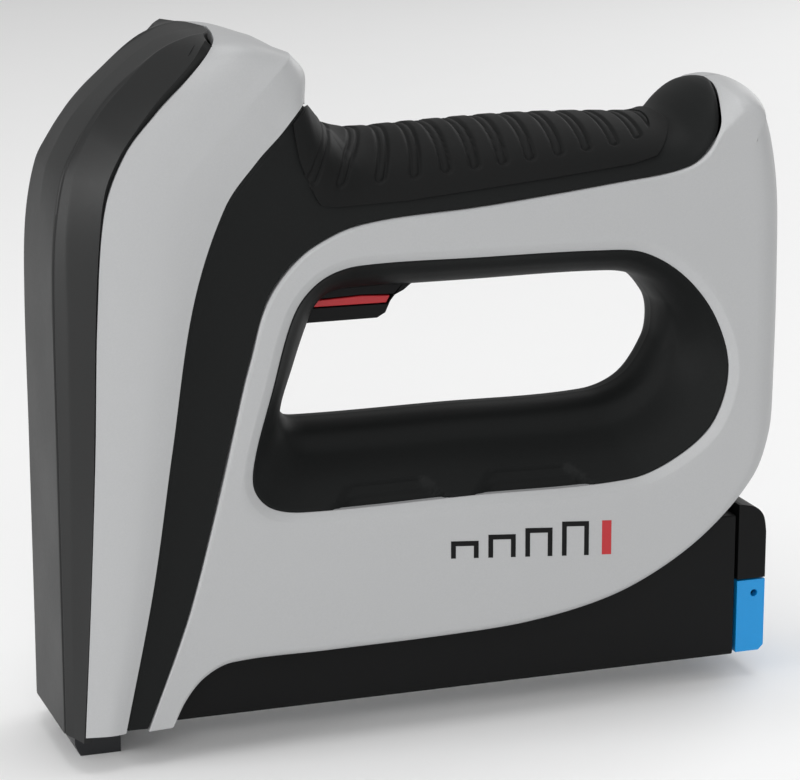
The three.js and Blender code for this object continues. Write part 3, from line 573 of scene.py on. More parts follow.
# Over the horn the two panels draw together in an arch on its front and another on its back: the
# height where each starts, the height where it closes, and the back one's half width.
FRONT_ARCH = (144.4, 159.4)
BACK_ARCH = (126.0, 156.5)
BACK_HALF = 14.2
SEAM = 0.12

# Depth of the side panel's rolled edge behind its face.
DEEP = 3.3

RIM_EDGE = [
    (47.3, 67.6), (47.7, 75.4), (52.4, 92), (56.6, 106.5), (60.2, 113.6), (66.4, 118.8),
    (75, 121), (106, 120.9),
    (138, 120.4), (150.2, 119), (161.6, 112.1), (170.4, 100.8), (174.3, 87), (170.4, 73.5),
    (160.5, 65.2), (147, 60.5), (103, 60.4), (60, 60.4), (51.4, 62.4),
]
RIM_STOPS = [0, 3, 6, 8, 10, 11, 13, 15, 17]

WAIST_EDGE = [
    (61.4, 80), (59.6, 83.5), (63, 95), (66.5, 104.5), (68.4, 108.4), (71.4, 110.9),
    (76, 111.6), (110, 111.6),
    (143, 111.4), (153.7, 109.8), (160.2, 103.2), (161.2, 98.6), (160.2, 92.4), (153.6, 83),
    (143, 79.2), (103, 79), (66, 79),
]
WAIST_STOPS = [0, 3, 6, 8, 9, 10, 12, 14, 16]


def panel_edge():
    """The side panel's outer edge, as (x, z) points round the ring."""
    return trace(PANEL_EDGE, RING_COUNTS, PANEL_STOPS, PANEL_CORNERS, closed=True)


def rim_edge():
    """The edge between the side panel and the handle opening's surround."""
    return trace(RIM_EDGE, RING_COUNTS, RIM_STOPS, closed=True)


def waist_edge():
    """The handle opening's narrowest ring, at Y = 0."""
    return trace(WAIST_EDGE, RING_COUNTS, WAIST_STOPS, closed=True)


def arch(points, half, foot, top):
    """Half the width of a half-elliptical arch at (x, z) points: full up to its foot, closed at its top."""
    rise = np.clip((points[..., 1] - foot) / (top - foot), 0, 1)
    return half * np.sqrt(1 - rise**2)


def ring_values(values):
    """One value at the start of each of the nine stretches, as a smooth value at every ring point."""
    starts = np.concatenate([[0], np.cumsum(RING_COUNTS)])
    at = np.interp(np.arange(starts[-1]), starts, list(values) + [values[0]])
    return softened(at, 60)


# ---------------------------------------------------------------- side panels

def panel_grid():
    """A closed profile carried round the panel: in over the edge, round it, over the face to a chamfer
    at the rim, and back behind the face. Round the edge it is a quarter of an ellipse in the turn t:
    reach * (1 - cos t) in from the edge, and height * (1 - sin t) down from the face. Over the horn
    the height is the panel's whole half width, and the front arch cuts the ellipse off at a turn."""
    outer = panel_edge()
    rim = rim_edge()
    to_inside = sideways(outer)
    count = np.arange(len(outer))
    starts = np.concatenate([[0], np.cumsum(RING_COUNTS)])
    tip = starts[4]
    domed = smooth_step(count, tip - 24, tip - 8) * (1 - smooth_step(count, starts[6], starts[7]))
    bottom = smooth_step(count, starts[6], starts[7]) * (1 - smooth_step(count, starts[8] + 20, starts[9]))
    face = panel_half(outer)
    front = count < tip
    seam = np.where(front, SEAM, np.maximum(arch(outer, BACK_HALF, *BACK_ARCH), SEAM))
    seam = np.where(count > starts[5], BACK_HALF, seam)
    first = np.where(front, np.arcsin(arch(outer, 1.0, *FRONT_ARCH)), 0)
    reach = 1.0 + 6.0 * domed + 1.2 * bottom
    lean = smooth_step(count, tip, tip + 30)[:, None]
    inward = softened(np.array([0.35, -0.94]) * (1 - lean) + to_inside * lean, 80)
    inward = inward / np.linalg.norm(inward, axis=1, keepdims=True)

    def edge_at(inset, y):
        """Points in from the edge: the plain round edge and the domed horn, mixed by station."""
        plain = across(outer + to_inside * np.reshape(inset[0], (-1, 1)), -y[0])
        dome = across(outer + inward * np.reshape(inset[1], (-1, 1)), -y[1])
        return plain * (1 - domed[:, None]) + dome * domed[:, None]

    to_foot = np.minimum(np.abs(count - starts[9] + 5), count + 5)
    small = (1.0 + 1.2 * bottom) * (1 - 0.85 * np.exp(-((to_foot / 30) ** 2)))
    slope_in = np.cos(first) / reach
    slope_out = np.sin(first) / (face - seam)
    steep = np.hypot(slope_in, slope_out)
    slope_in, slope_out = slope_in / steep, slope_out / steep
    edge_half = seam + (face - seam) * np.sin(first)
    columns = [edge_at((0 * small, DEEP * slope_in), (face - DEEP, edge_half - DEEP * slope_out))]
    for part in np.linspace(0, 1, 14):
        turn = part * math.pi / 2
        cut = first + (math.pi / 2 - first) * part
        inset = (small * (1 - math.cos(turn)), reach * (np.cos(first) - np.cos(cut)))
        y = (face - small * (1 - math.sin(turn)), seam + (face - seam) * np.sin(cut))
        columns.append(edge_at(inset, y))
    face_start = edge_at((small, reach * np.cos(first)), (face, face))[:, ::2]
    near_tip = np.exp(-(((count - tip) / 26) ** 4))[:, None]
    face_start = face_start * (1 - near_tip) + softened(face_start, 60) * near_tip
    face_end = rim - sideways(rim) * 2.5
    from_toe = np.where(front, count / 30, (len(count) - count) / 5)
    knee = (face_start + face_end) / 2 + np.exp(-(from_toe**2))[:, None] * np.array([1.8, -0.7])
    for part in np.linspace(0.08, 1, 20):
        flat = face_start * (1 - part) ** 2 + knee * 2 * part * (1 - part) + face_end * part**2
        columns.append(across(flat, -panel_half(flat)))
    half = panel_half(rim)
    for out, drop in ((2.1, 0.12), (1.2, 0.55), (0.3, 1.0), (0, 1.25), (0, 3.1)):
        columns.append(across(rim - sideways(rim) * out, -(half - drop)))
    columns.append(across((face_start + face_end) / 2, -(face - 3.2)))
    columns.append(edge_at((small + 1.2, reach * np.cos(first) + 2.2), (face - 3.2, face - 3.2)))
    columns.append(edge_at((small + 1.2, 4.0 * slope_in), (face - DEEP, edge_half - 4.0 * slope_out)))
    return np.stack(columns, axis=1)


class STAPLE_OT_side_panels(bpy.types.Operator):
    """Build the two silver side panels"""

    bl_idname = "staple.side_panels"
    bl_label = "Side panels"

    def execute(self, context):
        left = panel_grid()
        for side, grid in (("left", left), ("right", mirrored(left))):
            name = f"side_panel_{side}"
            mesh = grid_mesh(name, grid, wrap_rows=True, wrap_columns=True)
            turned_outward(mesh)
            piece = finished(name, mesh, "casing", "silver_shell")
            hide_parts(f"silver_panel_{side}")
        return {"FINISHED"}


def turned_outward(mesh):
    """Turns a closed mesh's faces outward, if its volume comes out negative."""
    build = bmesh.new()
    build.from_mesh(mesh)
    if build.calc_volume(signed=True) < 0:
        bmesh.ops.reverse_faces(build, faces=build.faces)
    build.to_mesh(mesh)
    build.free()


# ---------------------------------------------------------------- handle opening

# How far the surround has opened from the waist (0) to the rim (1), against the share of the half
# width, for the plain round wall and for the rolled ledge along the bottom.
ROUND_WALL = [(0, 0), (0.25, 0.05), (0.5, 0.22), (0.75, 0.55), (0.92, 0.86), (1, 1)]
ROLLED_LEDGE = [(0, 0), (0.2, 0.03), (0.36, 0.14), (0.46, 0.36), (0.52, 0.44), (0.76, 0.68), (1, 1)]
WINDOWS = ((67, 98), (104.5, 137))


def surround_grid():
    """From the left rim to the waist and out to the right rim: each point is the waist's moved towards
    the rim's by the opening share. Two stepped windows are pressed into the ledge on each side."""
    rim = rim_edge()
    rim = rim + sideways(rim) * 0.3
    waist = waist_edge()
    across_steps = np.linspace(-1, 1, 121)
    share = np.abs(across_steps)
    plain = dense(ROUND_WALL)
    ledge = dense(ROLLED_LEDGE)
    plain_open = np.interp(share, plain[:, 0], plain[:, 1])
    ledge_open = np.interp(share, ledge[:, 0], ledge[:, 1])
    weight = ring_values([0.2, 0, 0, 0, 0, 0.2, 0.7, 1, 0.9])[:, None]
    opening = (plain_open * (1 - weight) + ledge_open * weight)[..., None]
    flat = waist[:, None] * (1 - opening) + rim[:, None] * opening
    half = (panel_half(rim) - 1.3)[:, None]
    grid = across(flat, half * across_steps)
    bottom = (grid[..., 2] < 70).astype(float)
    for low, high in WINDOWS:
        for step, (inner, depth) in enumerate(((0.0, 1.1), (0.09, 1.0))):
            slant = (1 - share) * 30
            along = smooth_step(grid[..., 0], low + slant + 2 * step, low + slant + 0.8 + 2 * step)
            along = along * (1 - smooth_step(grid[..., 0], high - slant - 0.8, high - slant))
            over = smooth_step(share, 0.8 + inner, 0.815 + inner)
            press = along * over * bottom * depth
            grid[..., 2] -= press * 0.8
            grid[..., 1] -= np.sign(across_steps) * press * 0.6
    return grid


class STAPLE_OT_surround(bpy.types.Operator):
    """Build the dark surround of the handle opening"""

    bl_idname = "staple.surround"
    bl_label = "Opening surround"

    def execute(self, context):
        grid = surround_grid()
        mesh = grid_mesh("opening_surround", grid, wrap_rows=True, inside=(105, 0, 92))
        mesh.flip_normals()
        finished("opening_surround", mesh, "casing", "dark_shell", wall=1.6)
        return {"FINISHED"}


# ---------------------------------------------------------------- dark housing

# Stations along the housing's visible upper part, from the foot up behind the saddle, over the
# shoulder and along the handle to the horn: its outer line (x, y, z), and the line beside the panel.
RIDGE = [
    (14.2, -23.7, 10), (17.8, -23.8, 25.7), (21.8, -23.8, 45), (27.3, -23.8, 80), (33.2, -23.8, 116),
    (41.4, -23.8, 138), (52.6, -23.8, 152), (58.8, -23.5, 159), (60.6, -21.2, 160.4), (62.3, -16, 160),
    (65, -8, 158.3), (68, 0, 155.8), (71.6, 0, 152.4), (79, 0, 150.6), (95, 0, 151), (120, 0, 151.7),
    (140, 0, 151.3), (151, 0, 150.7), (157.6, 0, 150.6), (162.4, 0, 152.2), (166.4, 0, 155.9),
    (170, 0, 158.3), (172.6, 0, 159.2), (174.5, 0, 159.4),
]
BESIDE_PANEL = [
    (19.1, 9.8), (25.6, 25.8), (32.2, 45), (41.2, 80), (50.6, 113.4), (56, 121.4), (61.2, 125.6),
    (64.6, 127.6), (67.5, 129), (70.5, 130.2), (74, 131.2), (79, 132), (84.5, 132.6), (90, 133),
    (102, 133.6), (122, 135.4), (141, 137.4), (152.4, 138.6), (158.8, 139.6), (164.2, 141.5),
    (169.2, 147.6), (171.6, 153.8), (173.1, 157.6), (174.5, 159.4),
]


def housing_lines():
    """The two lines of the housing's upper part, FINE steps from each station to the next."""
    beside = dense(BESIDE_PANEL)
    half = arch(beside, panel_half(beside), *FRONT_ARCH)
    return dense(RIDGE), across(beside, -np.maximum(half - 0.5, 0))


def housing_points(station, angle):
    """Points on the housing at stations and angles: a quarter ellipse from the ridge line at angle 0
    round to the panel line at 90 degrees."""
    ridge_line, beside_line = housing_lines()
    ridge = read_at(ridge_line, station * FINE)
    beside = read_at(beside_line, station * FINE)
    sine, cosine = np.sin(angle), np.cos(angle)
    x = beside[..., 0] + (ridge[..., 0] - beside[..., 0]) * cosine
    y = ridge[..., 1] + (beside[..., 1] - ridge[..., 1]) * sine
    z = beside[..., 2] + (ridge[..., 2] - beside[..., 2]) * cosine
    return np.stack([x, y, z], axis=-1)


def housing_grid():
    """The upper part of one housing half, from the saddle's edge and the ridge to the panel."""
    station = np.linspace(0, len(RIDGE) - 1, 330)
    angle = np.linspace(0, math.pi / 2, 40)
    return housing_points(*np.meshgrid(station, angle, indexing="ij"))


# The strip under the belly, up the rear wall and over the horn: (x, z) and its half width.
SPINE = [(21, 24.6), (41, 24.6), (98, 25.1), (120, 26.2), (141, 30.1), (157, 36.7), (171, 46), (181.8, 57.4),
         (186.4, 68.6), (187.4, 80), (187.4, 124), (186.2, 138), (184.6, 147), (182.4, 153), (179.6, 156)]
SPINE_HALF = [21, 21, 21, 21, 20.5, 19, 16, 14.3, 14, 14, 14.4, 14, 11.5, 8, 4]


def spine_grid():
    """A strip across the tool, carried from the belly round the rear to the horn, slightly crowned."""
    path = trace(np.column_stack([SPINE, SPINE_HALF]), [260])
    part = np.linspace(-1, 1, 41)
    normal = sideways(path[:, :2], closed=False)
    crown = 0.5 * (1 - part**2)
    flat = path[:, None, :2] + normal[:, None] * crown[None, :, None]
    return across(flat, path[:, 2:3] * part)


class STAPLE_OT_housing(bpy.types.Operator):
    """Build the dark housing halves and the strip behind and below them"""

    bl_idname = "staple.housing"
    bl_label = "Dark housing"

    def execute(self, context):
        wall = sizes().wall / MM
        left = housing_grid()
        for side, grid in (("left", left), ("right", mirrored(left))):
            name = f"housing_shell_{side}"
            mesh = grid_mesh(name, grid, inside=(90, 0, 100))
            piece = finished(name, mesh, "casing", "dark_shell", wall=wall, bevel=0.3)
            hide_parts(f"housing_{side}")
        mesh = grid_mesh("housing_spine", spine_grid(), inside=(110, 0, 90))
        finished("housing_spine", mesh, "casing", "dark_shell", wall=1.6, bevel=0.3)
        return {"FINISHED"}


# ---------------------------------------------------------------- grip pad

# Each slot's X at the ridge and at its lower end.
SLOT_TOPS = (71.1, 79.2, 85.9, 92.7, 98.4, 105.5, 112.8, 120.1, 127.6, 135.0, 142.6, 150.0, 156.5)
SLOT_ENDS = (61.6, 69.5, 80.2, 89.6, 97.9, 105.5, 112.8, 120.1, 127.8, 135.4, 143.1, 150.0, 155.4)
PAD_EDGE = [(58, 141), (61, 138.8), (64.2, 136.6), (68.7, 135.9), (86.2, 136.2), (106, 137.8), (126.1, 139.5),
            (146.6, 141.5), (153.5, 143), (157.6, 146), (162, 149)]
PAD_FRONT = 6.75
PAD_REAR = 18.5
PAD_ROUND = 0.45


def pad_grid():
    """Half of the grip pad on the housing's own surface, lifted off it. Its two ends pull in towards
    the lower corners, and each slot is a groove round a capsule that crosses the ridge."""
    along, down = np.meshgrid(np.linspace(0, 1, 620), np.linspace(0, 1, 150), indexing="ij")
    late = np.clip((down - (1 - PAD_ROUND)) / PAD_ROUND, 0, 1)
    pull = 1 - np.sqrt(1 - 0.96 * late**2.4)
    station = PAD_FRONT + 1.25 * pull + along * (PAD_REAR - PAD_FRONT - 2.55 * pull)
    ridge_line, beside_line = housing_lines()
    ridge = read_at(ridge_line, station * FINE)
    beside = read_at(beside_line, station * FINE)
    edge = np.asarray(PAD_EDGE)
    side_x = beside[..., 0] * 0.75 + ridge[..., 0] * 0.25
    edge_z = np.interp(side_x, edge[:, 0], edge[:, 1])
    tall = ridge[..., 2] - beside[..., 2]
    last = np.arccos(np.clip((edge_z - beside[..., 2]) / tall, 0, 1))
    first = math.radians(7) * (1 - smooth_step(station, 10.7, 11.0))
    angle = first + (last - first) * down
    points = housing_points(station, angle)
    forward = housing_points(station + 0.05, angle) - housing_points(station - 0.05, angle)
    downward = housing_points(station, angle + 0.01) - housing_points(station, angle - 0.01)
    normal = np.cross(downward, forward)
    normal = normal / np.maximum(np.linalg.norm(normal, axis=-1, keepdims=True), 1e-9)
    crossing = smooth_step(station, 11.0, 11.4)
    normal[:, 0, 1] *= 1 - crossing[:, 0]
    normal = normal / np.maximum(np.linalg.norm(normal, axis=-1, keepdims=True), 1e-9)
    lift = np.full(along.shape, sizes().pad_lift / MM)
    half = sizes().slot_width / MM / 2
    end_angle = np.arccos(np.clip((edge_z + 4.2 - beside[..., 2]) / tall, 0, 1))
    for top, low in zip(SLOT_TOPS, SLOT_ENDS):
        share = np.clip(angle / np.maximum(end_angle, 0.1), 0, 1)
        centre = top + (low - top) * share**1.5
        beyond = np.clip(angle - end_angle + half / 19, 0, None) * 19
        away = np.hypot(points[..., 0] - centre, beyond)
        line = np.exp(-(((away - half + 0.45) / 0.42) ** 2))
        floor = 0.25 * (1 - smooth_step(away, half - 0.9, half - 0.4))
        lift -= sizes().slot_depth / MM * line + floor
    return points + normal * lift[..., None]


class STAPLE_OT_grip(bpy.types.Operator):
    """Build the rubber grip pad"""

    bl_idname = "staple.grip"
    bl_label = "Grip pad"

    def execute(self, context):
        left = pad_grid()
        mesh = joined_grids("grip_pad", [left, mirrored(left)], inside=(110, 0, 130))
        piece = finished("grip_pad", mesh, "casing", "grip_rubber", wall=1.6)
        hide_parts("grip_sleeve")
        return {"FINISHED"}


# ---------------------------------------------------------------- head

# Rows of the nose cover from the foot to the top: rear edge, crease, groove and middle, as (x, y, z).
COVER_ROWS = [
    [(3.0, -24, 8.2), (1.5, -19.6, 8.2), (0, -16, 8.2), (0, 0, 8.2)],
    [(5.3, -24, 40), (1.9, -19.6, 40), (0, -16, 40), (0, 0, 40)],
    [(7.2, -24, 75), (2.3, -19.6, 76), (0, -16, 76), (0, 0, 76)],
    [(8.6, -24, 112), (2.7, -19.4, 114), (0, -16, 114), (0, 0, 114)],
    [(9.9, -24, 131), (3.1, -18.5, 133), (0.8, -15.6, 132), (0.8, 0, 132)],
    [(11.7, -24, 143.6), (5.7, -17, 146), (3.3, -14.6, 145.3), (2.6, 0, 145)],
    [(15.2, -24, 151.4), (10.1, -15.2, 155.8), (6.6, -13.2, 152), (5.4, 0, 151.4)],
    [(19.6, -24, 157.7), (14.6, -13.8, 162), (11.2, -12, 158.8), (9.6, 0, 158)],
    [(24.6, -24, 164), (20.8, -12.8, 168), (16.6, -11, 164.8), (15.2, 0, 163.8)],
    [(29.6, -24, 169.1), (26.2, -12, 172.9), (22.6, -10.6, 170), (21.6, 0, 169.4)],
    [(33.4, -23.6, 173.1), (30.6, -12, 175.6), (28.6, -10.4, 174.2), (28, 0, 174)],
    [(35.6, -22.6, 176.0), (35.4, -12, 177.2), (34.6, -10.4, 176.9), (34.4, 0, 176.8)],
    [(37.0, -21, 177.4), (39.0, -12, 177.8), (40.4, -10.2, 177.9), (42.4, 0, 177.9)],
]


def half_cover_grid():
    """The left half of the cover. Each row runs straight from point to point with its corners eased,
    and a thin groove follows the edge of the face, fading out on the brow."""
    rows = trace(COVER_ROWS, [300])
    place = np.concatenate([np.linspace(0, 0.9, 22), np.linspace(0.92, 2.3, 60), np.linspace(2.34, 3, 16)])

    def on_rows(at):
        """Points of every row at places along it, where 0 to 3 are its four given points."""
        at = np.clip(at, 0, 3)
        low = np.clip(np.floor(at).astype(int), 0, 2)
        part = (at - low)[None, :, None]
        return rows[:, low] * (1 - part) + rows[:, low + 1] * part

    ease = np.minimum(0.09, np.abs(3 - place))
    grid = (on_rows(place - ease) + 2 * on_rows(place) + on_rows(place + ease)) / 4
    grid[:, -1, 1] = 0
    side = np.abs(grid[..., 1]) - np.abs(rows[:, 2, 1])[:, None]
    strength = 1 - smooth_step(grid[..., 2], 142, 158)
    groove = np.exp(-((side / 0.3) ** 2)) * strength
    grid[..., 0] = np.maximum(grid[..., 0] + 0.7 * groove, 0)
    return grid


class STAPLE_OT_front_cover(bpy.types.Operator):
    """Build the dark nose cover"""

    bl_idname = "staple.front_cover"
    bl_label = "Nose cover"

    def execute(self, context):
        half = half_cover_grid()
        whole = np.concatenate([half, mirrored(half[:, -2::-1])], axis=1)
        mesh = grid_mesh("nose_cover", whole, inside=(40, 0, 100))
        piece = finished("nose_cover", mesh, "casing", "dark_cover", wall=sizes().wall / MM, bevel=0.3)
        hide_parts("front_cover")
        return {"FINISHED"}


# Rows of the saddle's left half from the foot over the top corner to Y = 0. Each runs from the front
# edge over the flat side and the crest to the rear edge, as (x, y, z).
SADDLE_ROWS = [
    [(3.4, -24.1, 9.6), (7, -24.7, 9.6), (9.5, -25, 9.6), (11.5, -24.8, 9.6), (13.4, -24.3, 9.6)],
    [(5.7, -24.1, 45), (11, -24.7, 45), (15.5, -25, 45), (18.3, -24.8, 45), (20.9, -24.3, 45)],
    [(7.6, -24.1, 80), (14, -24.7, 80), (19.5, -25, 80), (23.1, -24.8, 80), (26.4, -24.3, 80)],
    [(9, -24.1, 114), (16.5, -24.7, 115), (23.5, -25, 116), (28, -24.8, 115.6), (32.2, -24.2, 115)],
    [(11.4, -24.1, 139), (19.4, -24.7, 140.6), (28.2, -25, 141.4), (34.5, -24.7, 139.6), (40.3, -24.1, 138)],
    [(16.6, -24.1, 152), (26.4, -24.7, 153), (37, -25, 152.2), (42.9, -24.7, 150.5), (48.2, -24.1, 148.4)],
    [(24, -24.1, 161), (34.4, -24.7, 162.6), (46.5, -25, 162.2), (50.6, -24.6, 158), (54.1, -24.1, 154.5)],
    [(31.4, -24, 168.4), (42, -24.5, 170), (54, -24.5, 169.8), (56.8, -24, 164.8), (58.6, -23.8, 159.7)],
    [(36.4, -22.8, 173.6), (45.6, -23.2, 174.2), (57, -22.4, 172.3),
     (60, -21.8, 167.2), (60.6, -21.4, 161)],
    [(39.2, -19.8, 176.6), (47.4, -19.8, 176), (58.2, -18.6, 173), (62.2, -17.4, 167.9), (62.4, -16.4, 160.8)],
    [(41.3, -11.5, 177.6), (48.8, -11.5, 176.4), (59.2, -10.5, 172.6), (64.4, -9.4, 167), (65.1, -8.4, 159.2)],
    [(43.2, 0, 177.9), (49.8, 0, 176.3), (59.9, 0, 172), (65.9, 0, 165.6), (67.5, 0, 157.8)],
]


# Painted shade: black sheets behind the gap between cover and saddle make the seam read dark. The
# first row of the cover's edge that has one, and how far its two long edges lie from the cover's edge.
SHADE_SHEET_START = 50
SHADE_SHEET_SHIFT = np.array([[-2.0, 2.2, -1.2], [5.0, 2.4, -5.0]])


def half_saddle_grid():
    """The left half of the saddle. The crest is a sharp crease on the shoulder and a soft bulge low
    down, so two grids, with and without the corner, are mixed by height."""
    rows = trace(SADDLE_ROWS, [320])
    turned = np.swapaxes(rows, 0, 1)
    soft = trace(turned, [24, 24, 18, 18], stops=[0, 1, 2, 3, 4])
    sharp = trace(turned, [24, 24, 18, 18], stops=[0, 1, 2, 3, 4], corners=(2,))
    height = soft[..., 2:3]
    weight = smooth_step(height, 138, 156)
    grid = np.swapaxes(soft * (1 - weight) + sharp * weight, 0, 1)
    grid[..., 2] = np.minimum(grid[..., 2], 177.95)
    grid[..., 1] = np.maximum(grid[..., 1], -25)
    grid[-1, :, 1] = 0
    return grid


class STAPLE_OT_saddle(bpy.types.Operator):
    """Build the light saddle that wraps the head, and the black sheets of painted shade behind the gap before
    it
    """

    bl_idname = "staple.saddle"
    bl_label = "Head saddle"

    def execute(self, context):
        half = half_saddle_grid()
        whole = np.concatenate([half, mirrored(half[-2::-1])], axis=0)
        mesh = grid_mesh("saddle", whole, inside=(60, 0, 100))
        piece = finished("saddle", mesh, "casing", "silver_shell", wall=sizes().wall / MM, bevel=0.4)
        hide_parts("head_saddle")
        # Painted shade: a black strip just inside the seam, so the gap between cover and saddle reads dark.
        shade_strip = trace(COVER_ROWS, [120])[SHADE_SHEET_START:, :1].repeat(2, axis=1)
        for side, sign in (("left", 1), ("right", -1)):
            grid = (shade_strip + SHADE_SHEET_SHIFT) * np.array([1.0, sign, 1.0])
            mesh = grid_mesh(f"gap_shade_sheet_{side}", grid, inside=(60, 0, 100))
            finished(f"gap_shade_sheet_{side}", mesh, "casing", "black_moulding", wall=1.2)
        return {"FINISHED"}


# ---------------------------------------------------------------- printed marks

def mark_outline(x, z, crown, leg, line, slope):
    """A staple's outline: a crown with two legs, drawn as eight corners and sheared along the panel."""
    corners = np.array([
        (0, 0), (0, leg), (crown, leg), (crown, 0),
        (crown - line, 0), (crown - line, leg - line), (line, leg - line), (line, 0),
    ])
    return np.array([x, z]) + np.column_stack([corners[:, 0], corners[:, 1] + corners[:, 0] * slope])


def flat_mark(name, outline, side, slot):
    """A thin printed mark that lies on a side panel's face: its outline just over and just under it."""
    half = panel_half(outline)
    rings = [across(outline, side * (half + 0.04)), across(outline, side * (half - 0.3))]
    mesh = grid_mesh(name, np.stack(rings), wrap_columns=True, capped=True)
    turned_outward(mesh)
    return finished(name, mesh, "casing", slot)


class STAPLE_OT_marks(bpy.types.Operator):
    """Print plain staple marks of growing length, and a small bar, on the side panels"""

    bl_idname = "staple.marks"
    bl_label = "Printed marks"

    def execute(self, context):
        line = sizes().mark_line / MM
        for side, label in ((-1, "left"), (1, "right")):
            for k, leg in enumerate((4.5, 6.0, 7.5, 9.0)):
                outline = mark_outline(98 + 10.0 * k, 45.0 - 0.8 * k, 7.4, leg, line, -0.08)
                flat_mark(f"staple_mark_{label}_{k + 1}", outline, side, "black_moulding")
            bar = np.array([(139, 41.8), (139, 50.8), (141.6, 50.6), (141.6, 41.6)])
            flat_mark(f"bar_mark_{label}", bar, side, "red_inlay")
        return {"FINISHED"}


# ---------------------------------------------------------------- rounded CAD pieces

ROUNDED = (
    ("magazine_body", "magazine_housing", "black_moulding", 0.5),
    ("magazine_cap", "rear_cap", "black_moulding", 1.0),
    ("blue_latch", "release_latch", "blue_latch", 0.5),
    ("nose_foot", "nose_piece", "black_steel", 0.4),
    ("trigger_body", "trigger", "black_moulding", 0.7),
    ("trigger_strip", "trigger_inlay", "red_inlay", 0.25),
    ("socket_body", "charge_socket", "black_moulding", 0.3),
)


class STAPLE_OT_rounded(bpy.types.Operator):
    """Round the edges of the CAD pieces that show: magazine, cap, latch, foot, trigger and socket"""

    bl_idname = "staple.rounded"
    bl_label = "Rounded pieces"

    def execute(self, context):
        for name, node, slot, width in ROUNDED:
            rounded_copy(name, node, slot, width)
        return {"FINISHED"}


class STAPLE_OT_works(bpy.types.Operator):
    """Give every carried-over CAD piece its procedural material"""

    bl_idname = "staple.works"
    bl_label = "Works"

    def execute(self, context):
        slots = {part["node"]: part["material_slot"] for part in frame["record"]["subparts"]}
        for name, node in frame["nodes"].items():
            material = material_of(slots[name])
            if not node.data.materials:
                node.data.materials.append(material)
            for k in range(len(node.material_slots)):
                node.material_slots[k].material = material
        return {"FINISHED"}


# ---------------------------------------------------------------- studio

CAMERA_TURN = math.radians(-19.23)
CAMERA_LIFT = math.radians(14.32)
CAMERA_TARGET = (-0.00255, 0.0, 0.08349)
CAMERA_DISTANCE = 0.7653
CAMERA_LENS = 136.04
SKY_STRENGTH = 0.45
FLOOR_HALF = 3.0

# Each soft light's name, place, size and power. They all aim at CAMERA_TARGET.
LIGHTS = (
    ("front_light", (-1.5, -0.15, 0.45), 0.8, 17.0),
    ("side_light", (-0.3, -1.5, 0.8), 1.2, 9.0),
    ("top_light", (0.1, 0.0, 1.6), 1.0, 7.0),
    ("rear_light", (1.3, 0.9, 0.8), 1.2, 8.0),
)


def aimed(thing, place, target):
    """Puts an object at a place with its -Z axis towards the target."""
    back = np.subtract(place, target)
    thing.location = place
    flat = math.hypot(back[0], back[1])
    thing.rotation_euler = (math.atan2(flat, back[2]), 0.0, math.atan2(back[0], -back[1]))


def pale_material():
    """The floor's own material: nearly white, with a very faint slow drift."""
    material = bpy.data.materials.new("studio_floor")
    material.use_nodes = True
    tree = material.node_tree
    tone = placed_group(tree, "tone_drift")
    floor = bpy.context.scene.staple_gun_colours.floor
    set_inputs(tone, {"Colour": tuple(floor) + (1.0,), "Drift": 0.01, "Speckle": 0.0})
    shader = tree.nodes["Principled BSDF"]
    set_inputs(shader, {"Roughness": 0.7})
    tree.links.new(tone.outputs["Colour"], shader.inputs["Base Color"])
    return material


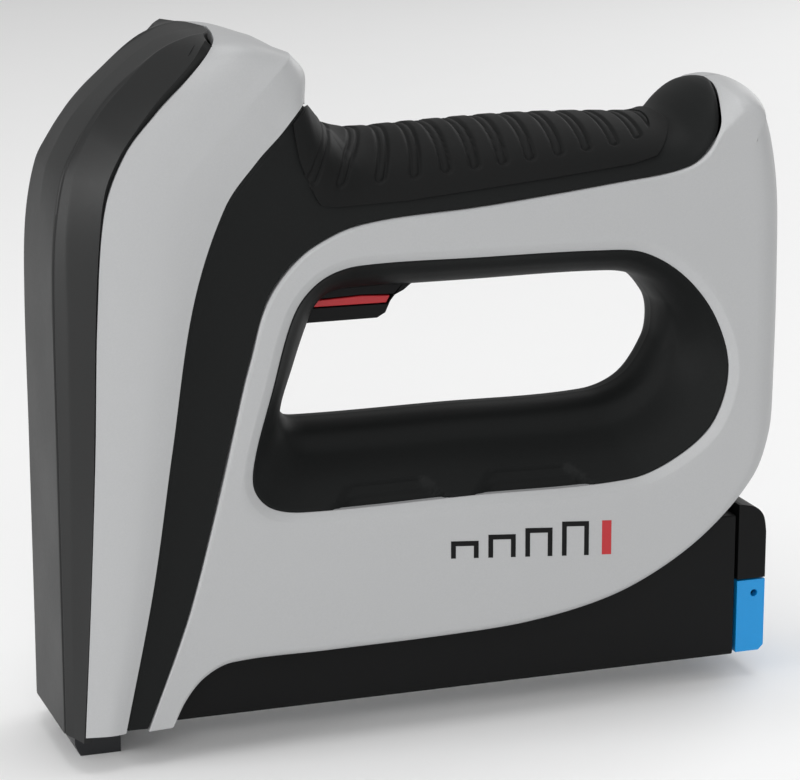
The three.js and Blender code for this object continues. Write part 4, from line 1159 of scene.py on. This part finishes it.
class STAPLE_OT_studio(bpy.types.Operator):
    """Set up the camera, the soft lights and the pale floor"""

    bl_idname = "staple.studio"
    bl_label = "Studio"

    def execute(self, context):
        scene = context.scene
        back = (
            math.sin(CAMERA_TURN) * math.cos(CAMERA_LIFT),
            -math.cos(CAMERA_TURN) * math.cos(CAMERA_LIFT),
            math.sin(CAMERA_LIFT),
        )
        camera = bpy.data.objects.new("camera", bpy.data.cameras.new("camera"))
        camera.data.lens = CAMERA_LENS
        camera.data.sensor_width = 36.0
        camera.data.clip_start = 0.01
        scene.collection.objects.link(camera)
        aimed(camera, np.add(CAMERA_TARGET, np.multiply(back, CAMERA_DISTANCE)), CAMERA_TARGET)
        scene.camera = camera
        for name, place, size, power in LIGHTS:
            lamp = bpy.data.lights.new(name, "AREA")
            lamp.size = size
            lamp.energy = power
            light = bpy.data.objects.new(name, lamp)
            scene.collection.objects.link(light)
            aimed(light, place, CAMERA_TARGET)
        world = scene.world or bpy.data.worlds.new("studio_world")
        scene.world = world
        world.use_nodes = True
        sky = world.node_tree.nodes["Background"]
        set_inputs(sky, {"Color": (1.0, 1.0, 1.0, 1.0), "Strength": SKY_STRENGTH})
        scene.view_settings.view_transform = "Standard"
        ends = np.array([-FLOOR_HALF, FLOOR_HALF]) / MM
        flat = np.array([[(x, y, 0) for x in ends] for y in ends])
        mesh = grid_mesh("floor", flat, inside=(0, 0, -10))
        floor = bpy.data.objects.new("floor", mesh)
        scene.collection.objects.link(floor)
        mesh.materials.append(pale_material())
        return {"FINISHED"}


class STAPLE_PT_panel(bpy.types.Panel):
    """Lists the building steps, sizes and colours"""

    bl_idname = "STAPLE_PT_panel"
    bl_label = "Staple gun"
    bl_space_type = "VIEW_3D"
    bl_region_type = "UI"
    bl_category = "Staple gun"

    def draw(self, context):
        for step in STEPS:
            self.layout.operator(step.bl_idname)
        for group in (context.scene.staple_gun_sizes, context.scene.staple_gun_colours):
            for key in group.__annotations__:
                self.layout.prop(group, key)


STEPS = (
    STAPLE_OT_studio,
    STAPLE_OT_works,
    STAPLE_OT_front_cover,
    STAPLE_OT_saddle,
    STAPLE_OT_housing,
    STAPLE_OT_surround,
    STAPLE_OT_side_panels,
    STAPLE_OT_marks,
    STAPLE_OT_grip,
    STAPLE_OT_rounded,
)
CLASSES = (StapleGunSizes, StapleGunColours) + STEPS + (STAPLE_PT_panel,)


def register():
    """Registers the classes and hangs the two property groups on the scene."""
    for cls in CLASSES:
        bpy.utils.register_class(cls)
    bpy.types.Scene.staple_gun_sizes = bpy.props.PointerProperty(type=StapleGunSizes)
    bpy.types.Scene.staple_gun_colours = bpy.props.PointerProperty(type=StapleGunColours)


def unregister():
    """Undoes register()."""
    del bpy.types.Scene.staple_gun_colours
    del bpy.types.Scene.staple_gun_sizes
    for cls in reversed(CLASSES):
        bpy.utils.unregister_class(cls)


def main():
    """Builds everything in order."""
    register()
    bpy.ops.staple.studio()
    bpy.ops.staple.works()
    bpy.ops.staple.front_cover()
    bpy.ops.staple.saddle()
    bpy.ops.staple.housing()
    bpy.ops.staple.surround()
    bpy.ops.staple.side_panels()
    bpy.ops.staple.marks()
    bpy.ops.staple.grip()
    bpy.ops.staple.rounded()


if __name__ == "__main__":
    main()
